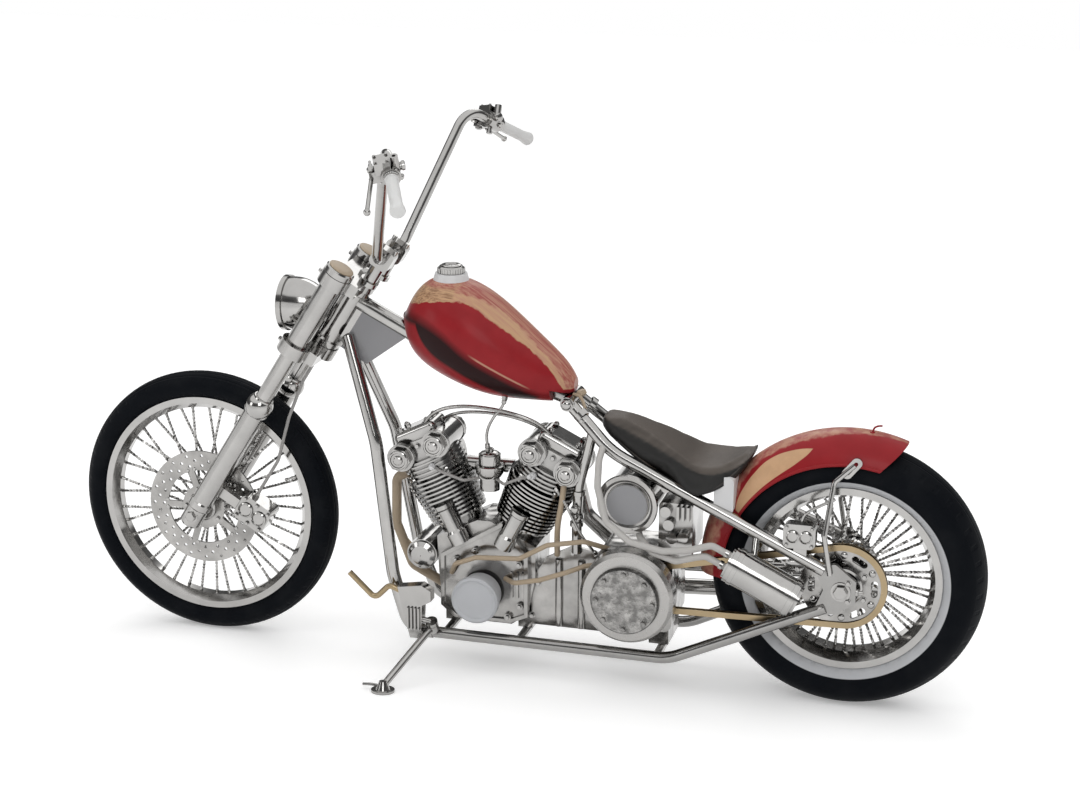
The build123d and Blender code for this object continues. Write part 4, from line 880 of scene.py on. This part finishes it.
OVERHEAD_LINES = [  # radius, points
    (4.5, [(1040, 26, 588), (1004, 40, 640), (930, 52, 664), (830, 52, 660), (742, 44, 636), (702, 30, 590)]),
    (4.0, [(1010, -20, 596), (960, 4, 630), (880, 12, 640), (800, 6, 630), (730, -18, 594)]),
    (3.5, [(866, 40, 552), (868, 52, 600), (850, 56, 640), (826, 48, 668), (822, 46, 694)]),
    (3.5, [(690, 62, 480), (650, 96, 440), (624, 90, 380), (584, 70, 320)]),
]


def overhead_lines():
    """Oil and fuel lines over and behind the cylinders, with their unions."""
    form = Form()
    for radius, points in OVERHEAD_LINES:
        form.tube(points, radius)
        for end, after in ((points[0], points[1]), (points[-1], points[-2])):
            union = facing(end, Vector(after) - Vector(end))
            form.lathe(union, [(radius + 4, 0), (radius + 4, 9), (radius + 2.5, 11)], 6)
            form.lathe(union, [(radius + 2.5, 11), (radius + 2.5, 18), (radius + 1, 20)], 16)
    form.make("overhead_lines", "frame", "satin_steel")


def vertical_pipe():
    """Plated stack between the engine and the oil tank, its clips and cap, and a breather hose beside it."""
    form = Form()
    form.tube([(640, 58, 322), (640, 62, 420), (634, 62, 500), (618, 60, 560), (604, 58, 626)], 12, 20)
    for z in (392, 412, 470):
        form.collar(facing((640 - 0.07 * (z - 392), 62, z), (0, 0, 1)), 12, 16, 10, 24)
    form.lathe(facing((640, 76, 440), (0, 1, 0)), [(11, -6), (11, 4), (9, 6), (9, 14), (5, 16)], 6)
    form.dome_nut(outward(640, 420, 72), 10, 14)
    form.make("riser_pipe", "frame", "chrome")
    hose = Form().tube([(690, 52, 308), (684, 78, 390), (672, 80, 450), (668, 70, 512)], 7, 14)
    hose.make("breather_hose", "frame", "tan_line")


def hose_clamps():
    """Clips on the filter canister and on its two hoses."""
    form = Form()
    axis = (CANISTER_FRONT - CANISTER_REAR).normalized()
    rise = axis.cross(Vector((0, 1, 0))).normalized()
    for up in (16, -15):
        base = CANISTER_FRONT + axis * 12 + rise * up
        form.collar(facing(base, axis), 8, 10.5, 9, 24)
        form.bolt(facing(base + axis * 4.5 + Vector((0, 10, 0)), (0, 1, 0)), 3, 5)
    for along in (4, 146):
        form.collar(facing(CANISTER_REAR + axis * along, axis), 43.5, 46, 10, 40)
    form.make("hose_clamps", "frame", "chrome")


def cap_ring():
    """Finger ridges round the filler cap and the turned step on its top."""
    form = Form()
    for k in range(28):
        angle = math.tau * k / 28
        ridge = Vector((968 + 32 * math.cos(angle), 32 * math.sin(angle), 974.4))
        form.lathe(facing(ridge, (0, 0, 1)), [(1.6, 0), (1.6, 11), (0.8, 12)], 8)
    form.lathe(facing((968, 0, 991), (0, 0, 1)), [(24, 0), (24, 2), (21, 3.5), (17, 3.5), (15, 1)], 36)
    form.make("cap_ridges", "frame", "chrome")


RIGHT_COVERS = [  # x, z, face y, outline of (radius, height), bolts, bolt circle
    (870, 216, -83, [(70, 0), (70, 4), (66, 7), (58, 7), (54, 4), (30, 4), (27, 9), (12, 11)], 8, 62),
    (494, 262, -78, [(62, 0), (62, 8), (57, 13), (48, 13), (44, 9), (22, 9), (19, 16), (8, 18)], 6, 53),
    (505, 476, -112, [(62, 0), (62, 6), (58, 9), (52, 9), (48, 5), (12, 5)], 0, 0),
]


def right_covers():
    """Turned covers on the right ends of the crankcase, gearbox and oil tank."""
    form = Form()
    for x, z, face, outline, count, circle in RIGHT_COVERS:
        form.lathe(outward(x, z, face), outline, 48)
        rim = next(height for radius, height in outline if radius <= circle + 8) if count else 0
        for k in range(count):
            angle = math.tau * (k + 0.5) / count
            form.bolt(outward(x + circle * math.cos(angle), z + circle * math.sin(angle), face - rim), 4.5, 5)
    for x, z in ((420, 326), (566, 326), (420, 176), (566, 176)):
        form.bolt(outward(x, z, -78), 6, 7)
    form.tube([(500, -92, 262), (560, -112, 300), (596, -116, 350), (606, -118, 372)], 7, 14)
    form.lathe(facing((606, -132, 374), (0, 1, 0)), [(9, -22), (11, -18), (11, 18), (9, 22)], 16)
    form.make("right_covers", "frame", "satin_steel")


# Chassis fittings
def frame_fittings():
    """Axle nuts, chain adjusters, caliper bosses and the fittings behind the tank."""
    form = Form()
    z = REAR_CENTRE.z
    for side in (1, -1):
        form.bolt(outward(0, z, side * PLATE_FACE), 17, 13)
        form.bolt(outward(46, z + 46, side * PLATE_FACE), 7, 7)
        form.bolt(outward(44, z - 46, side * PLATE_FACE), 7, 7)
        form.bolt(outward(-16, z + 22, side * PLATE_FACE), 6, 6)
        form.bolt(outward(-16, z - 22, side * PLATE_FACE), 6, 6)
        form.lathe(facing((-34, side * 126, z), (-1, 0, 0)), [(9, 0), (9, 5), (5, 6), (5, 16), (3, 17)], 12)
        form.dome_nut(outward(668, 688, side * 56), 15, 14)
        form.collar(facing((628, side * 50, 658), (0.76, side * -0.26, 0.6)), 15.5, 18.5, 14, 28)
        form.bolt(outward(628, 655, side * 68), 5, 6)
    for x in (84, 114):
        form.lathe(outward(x, z + 125, 138), [(15, 0), (15, 3), (12, 5), (11, 2.5), (5, 2.5)], 28)
    for x, up in ((70, 104), (128, 104), (70, 146), (128, 146)):
        form.bolt(outward(x, z + up, 138), 4, 5)
    form.tube([(96, 122, z + 154), (92, 122, z + 176), (60, 118, z + 196), (24, 112, z + 214)], 3.5)
    form.make("frame_fittings", "frame", "chrome")


def tan_block():
    """Small clamp block and strap on the top tube behind the tank."""
    form = Form()
    form.lathe(facing((644, 12, 706), (0.3, 0.9, 0)), [(7, -12), (9, -10), (9, 10), (7, 12)], 6)
    form.tube([(662, 20, 704), (640, 24, 702), (618, 50, 654)], 4, 10)
    form.make("strap_fitting", "frame", "tan_line")


def guard_hook():
    """Small hook on the tail of the mudguard."""
    form = Form()
    form.tube([(-40, 6, 664), (-43, 6, 678), (-52, 6, 683), (-62, 6, 684)], 2.2, 8)
    form.lathe(facing((-40, 6, 665), (0, 0, 1)), [(6, 0), (6, 3), (4, 4)], 12)
    form.make("guard_hook", "frame", "red_paint")


# Fork fittings
def fork_fittings():
    """Axle nuts, yoke bolts, stem nut, caliper bosses and disc-side fittings that turn with the fork."""
    form = Form()
    for side in (1, -1):
        form.bolt(fork_place(0, side * 122, 0, (0, side, 0)), 13, 12)
        for height in (LOWER_TREE, UPPER_TREE):
            form.bolt(fork_place(37, side * LEG_SPREAD, height + TREE_THICKNESS / 2, (1, 0, 0)), 5, 8)
            form.bolt(fork_place(-20, side * 62, height + TREE_THICKNESS, (0, 0, 1)), 5, 6)
        form.bolt(fork_place(25, side * LEG_SPREAD, 32, (1, 0, 0)), 4, 6)
    form.dome_nut(fork_place(-40, 0, UPPER_TREE + TREE_THICKNESS, (0, 0, 1)), 20, 18)
    for x in (-102, -142):
        form.lathe(fork_place(x, 88, 84, (0, 1, 0)), [(19, 0), (19, 4), (16, 6), (14, 3), (6, 3)], 32)
    for x, z in ((-88, 58), (-122, 56), (-156, 60), (-88, 110), (-122, 112), (-156, 108)):
        form.bolt(fork_place(x, 88, z, (0, 1, 0)), 4.5, 6)
    form.lathe(fork_place(-104, 70, 118, (0, 0, 1)), [(8, 0), (8, 6), (6, 7), (6, 14)], 6)
    form.lathe(fork_place(-150, 60, 118, (0, 0, 1)), [(5, 0), (5, 6), (3, 8), (3, 14), (4, 15)], 10)
    form.make("fork_fittings", "fork", "chrome")


def fork_caps():
    """Flat caps on the fork tubes, pale tan as a painted reflection."""
    form = Form()
    for side in (1, -1):
        cap = fork_place(0, side * LEG_SPREAD, CAP_TOP, (0, 0, 1))
        form.lathe(cap, [(31, 0), (31, 1.5), (28, 3), (10, 3.6)], 40)
    # The tan finish on the caps is a painted reflection
    form.make("fork_caps", "fork", "tan_line")


def control_frame():
    """Left-hand control's frame: z outward along the bar."""
    out = (BAR_END - BAR_ELBOW).normalized()
    x_axis = (Vector((1, 0, 0)) - out * out.x).normalized()
    origin = BAR_END - out * (GRIP_LENGTH + CONTROL_LENGTH - 2)
    return Matrix.Translation(origin) @ Matrix((x_axis, out.cross(x_axis), out)).transposed().to_4x4()


def mirrored(form):
    """Adds the right-hand copy of what a form holds."""
    count = len(form.points)
    form.points += [Vector((p[0], -p[1], p[2])) for p in form.points]
    form.faces += [tuple(k + count for k in reversed(face)) for face in form.faces]
    return form


def control_fittings():
    """Adjusters, clamp bolts, reservoir lids and switch knobs on both controls."""
    form = Form()
    place = control_frame()

    def at(x, y, z, axis):
        return facing(place @ Vector((x, y, z)), place.to_3x3() @ Vector(axis))

    adjuster = [(6, 0), (6, 4), (8, 5), (8, 14), (5, 15), (5, 26), (3, 27), (3, 40)]
    form.lathe(at(40, 0, 8, (0, 0, -1)), adjuster, 14)
    for end in (1, -1):
        form.lathe(at(40, 0, 20, (0, end, 0)), [(9, 10), (9, 17), (6, 19)], 18)
    for x, y in ((12, -9), (18, 16)):
        form.bolt(at(x, y, 30, (1, 0, 0.2)), 4, 8)
    for x in (2, 28):
        for z in (8, 32):
            form.bolt(at(x, -37, z, (0, -1, 0)), 3.5, 4)
    form.lathe(at(-20, -4, 12, (-1, 0, 0)), [(9, -2), (9, 6), (11, 7), (11, 13), (7, 15)], 12)
    form.lathe(at(-18, 10, 30, (-1, 0.4, 0)), [(7, -2), (7, 7), (5, 9)], 12)
    form.lathe(at(-6, 22, 10, (0, 1, 0)), [(6, -2), (6, 8), (8, 9), (8, 15), (5, 16)], 10)
    for z in (-4, 46):
        form.collar(at(0, 0, z, (0, 0, 1)), 13, 18, 5, 24)
    mirrored(form).make("control_fittings", "fork", "chrome")


def grips():
    """Slim white grips with fine rings and a flared end."""
    form = Form()
    outline = [(13, 0), (18, 0.5), (18, 4), (14, 7)]
    for k in range(14):
        outline += [(14, 10 + 5.6 * k), (14, 13.2 + 5.6 * k), (13.5, 13.8 + 5.6 * k), (13.5, 15 + 5.6 * k)]
    outline += [(13.8, 92), (14.6, 104), (16.8, 116), (17.4, 123), (15.5, 127), (7, 128)]
    place = control_frame() @ Matrix.Translation((0, 0, CONTROL_LENGTH + 1))
    form.lathe(place, outline, 28)
    mirrored(form).make("bar_grips", "fork", "white_rubber", "grips")


# Turning fittings
DISC_FACE = 51
SPROCKET_FACE = 97


def wheel_fittings():
    """Bolts and rivets of the brake disc, and bolts of the sprocket."""
    form = Form()
    for k in range(5):
        angle = math.tau * k / 5
        form.bolt(facing(round_wheel(FRONT_CENTRE, 47, angle, DISC_FACE), (0, 1, 0)), 5, 5)
        for turn in (-0.1, 0.1):
            rivet = facing(round_wheel(FRONT_CENTRE, 99, angle + turn, DISC_FACE), (0, 1, 0))
            form.lathe(rivet, [(5, 0), (5, 1.5), (3.5, 2.5)], 14)
    form.make("disc_bolts", "front_wheel", "chrome")
    form = Form()
    for k in range(6):
        angle = math.tau * (k + 0.5) / 6
        form.bolt(facing(round_wheel(REAR_CENTRE, 56, angle, SPROCKET_FACE), (0, 1, 0)), 6, 6)
        boss = facing(round_wheel(REAR_CENTRE, 76, angle, SPROCKET_FACE), (0, 1, 0))
        form.lathe(boss, [(8, 0), (8, 2), (6, 4), (3, 5)], 16)
    form.lathe(facing(REAR_CENTRE, (0, 1, 0)), [(34, 104), (34, 112), (30, 114), (20, 114)], 32)
    form.make("sprocket_bolts", "rear_wheel", "chrome")


def stand_tang():
    """Tang by which a foot swings the stand."""
    form = Form()
    form.tube([(1044, 327.5, 41), (1066, 327.5, 44), (1090, 328, 42)], 3.5, 10)
    form.make("stand_tang", "side_stand", "chrome")


engine_fittings()
spark_plugs()
overhead_lines()
vertical_pipe()
hose_clamps()
cap_ring()
right_covers()
frame_fittings()
tan_block()
guard_hook()
fork_fittings()
fork_caps()
control_fittings()
grips()
wheel_fittings()
stand_tang()


# Stage
FLOOR_GLOW = 0.3


def make_floor():
    """Pale floor, white where the camera or a reflection sees it."""
    bpy.ops.mesh.primitive_plane_add(size=120)
    floor = bpy.context.object
    floor.name = "floor"
    shader = Shader("floor")
    shader.set(base_color=shader.mix(shader.noise(0.6, 2), (0.93, 0.93, 0.93), (0.95, 0.95, 0.95)))
    shader.set(roughness=0.9)
    shader.shine(0.0)
    ray = shader.add("ShaderNodeLightPath").outputs
    seen = shader.math("MAXIMUM", ray["Is Camera Ray"], ray["Is Glossy Ray"])
    seen = shader.math("MAXIMUM", seen, ray["Is Transmission Ray"])
    shader.set(emission_color=(1.0, 1.0, 1.0), emission_strength=shader.math("MULTIPLY", seen, FLOOR_GLOW))
    floor.data.materials.append(shader.material)


SKY = [  # height of the direction, level
    (0.0, 1.0), (0.11, 1.0), (0.15, 0.12), (0.30, 0.08), (0.52, 0.18), (0.62, 1.10), (1.0, 1.15),
]


def make_world():
    """White horizon, dark wall above it and bright ceiling, so that plated metal has something to show."""
    world = bpy.data.worlds.new("studio")
    bpy.context.scene.world = world
    world.use_nodes = True
    tree = world.node_tree
    tree.nodes.clear()
    place = tree.nodes.new("ShaderNodeTexCoord")
    split = tree.nodes.new("ShaderNodeSeparateXYZ")
    ramp = tree.nodes.new("ShaderNodeValToRGB")
    back = tree.nodes.new("ShaderNodeBackground")
    out = tree.nodes.new("ShaderNodeOutputWorld")
    tree.links.new(place.outputs["Generated"], split.inputs[0])
    tree.links.new(split.outputs["Z"], ramp.inputs[0])
    tree.links.new(ramp.outputs[0], back.inputs["Color"])
    tree.links.new(back.outputs[0], out.inputs["Surface"])
    ramp.color_ramp.elements[0].position = SKY[0][0]
    ramp.color_ramp.elements[1].position = SKY[-1][0]
    for position, _ in SKY[1:-1]:
        ramp.color_ramp.elements.new(position)
    for element, (position, level) in zip(ramp.color_ramp.elements, SKY):
        element.position = position
        element.color = (level, level, level, 1.0)


LAMPS = [  # name, place, size, watts
    ("key", (-1.2, 3.6, 2.6), 1.6, 28),
    ("fill", (3.0, 2.2, 1.8), 1.2, 12),
    ("back", (0.6, -3.4, 3.0), 1.6, 15),
]


def make_lamps():
    for name, place, size, watts in LAMPS:
        data = bpy.data.lights.new(name, "AREA")
        data.energy = watts
        data.size = size
        lamp = bpy.data.objects.new(name, data)
        lamp.location = place
        lamp.rotation_mode = "QUATERNION"
        lamp.rotation_quaternion = (Vector((0, 0, 0.5)) - Vector(place)).to_track_quat("-Z", "Y")
        bpy.context.scene.collection.objects.link(lamp)


def make_camera():
    data = bpy.data.cameras.new("camera")
    data.sensor_width = SENSOR
    data.lens = SENSOR * FOCAL_PIXELS / PHOTO_WIDTH
    camera = bpy.data.objects.new("camera", data)
    bpy.context.scene.collection.objects.link(camera)
    cos_e = math.cos(VIEW_ELEVATION)
    back = Vector((math.sin(VIEW_AZIMUTH) * cos_e, -math.cos(VIEW_AZIMUTH) * cos_e, math.sin(VIEW_ELEVATION)))
    level = Vector((math.cos(VIEW_AZIMUTH), math.sin(VIEW_AZIMUTH), 0))
    right = Matrix.Rotation(VIEW_ROLL, 3, back) @ level
    up = back.cross(right)
    turn = Matrix((right, up, back)).transposed().to_4x4()
    camera.matrix_world = Matrix.Translation(VIEW_TARGET + back * VIEW_DISTANCE) @ turn
    bpy.context.scene.camera = camera


make_floor()
make_world()
make_lamps()
make_camera()
bpy.context.scene.view_settings.view_transform = "Standard"
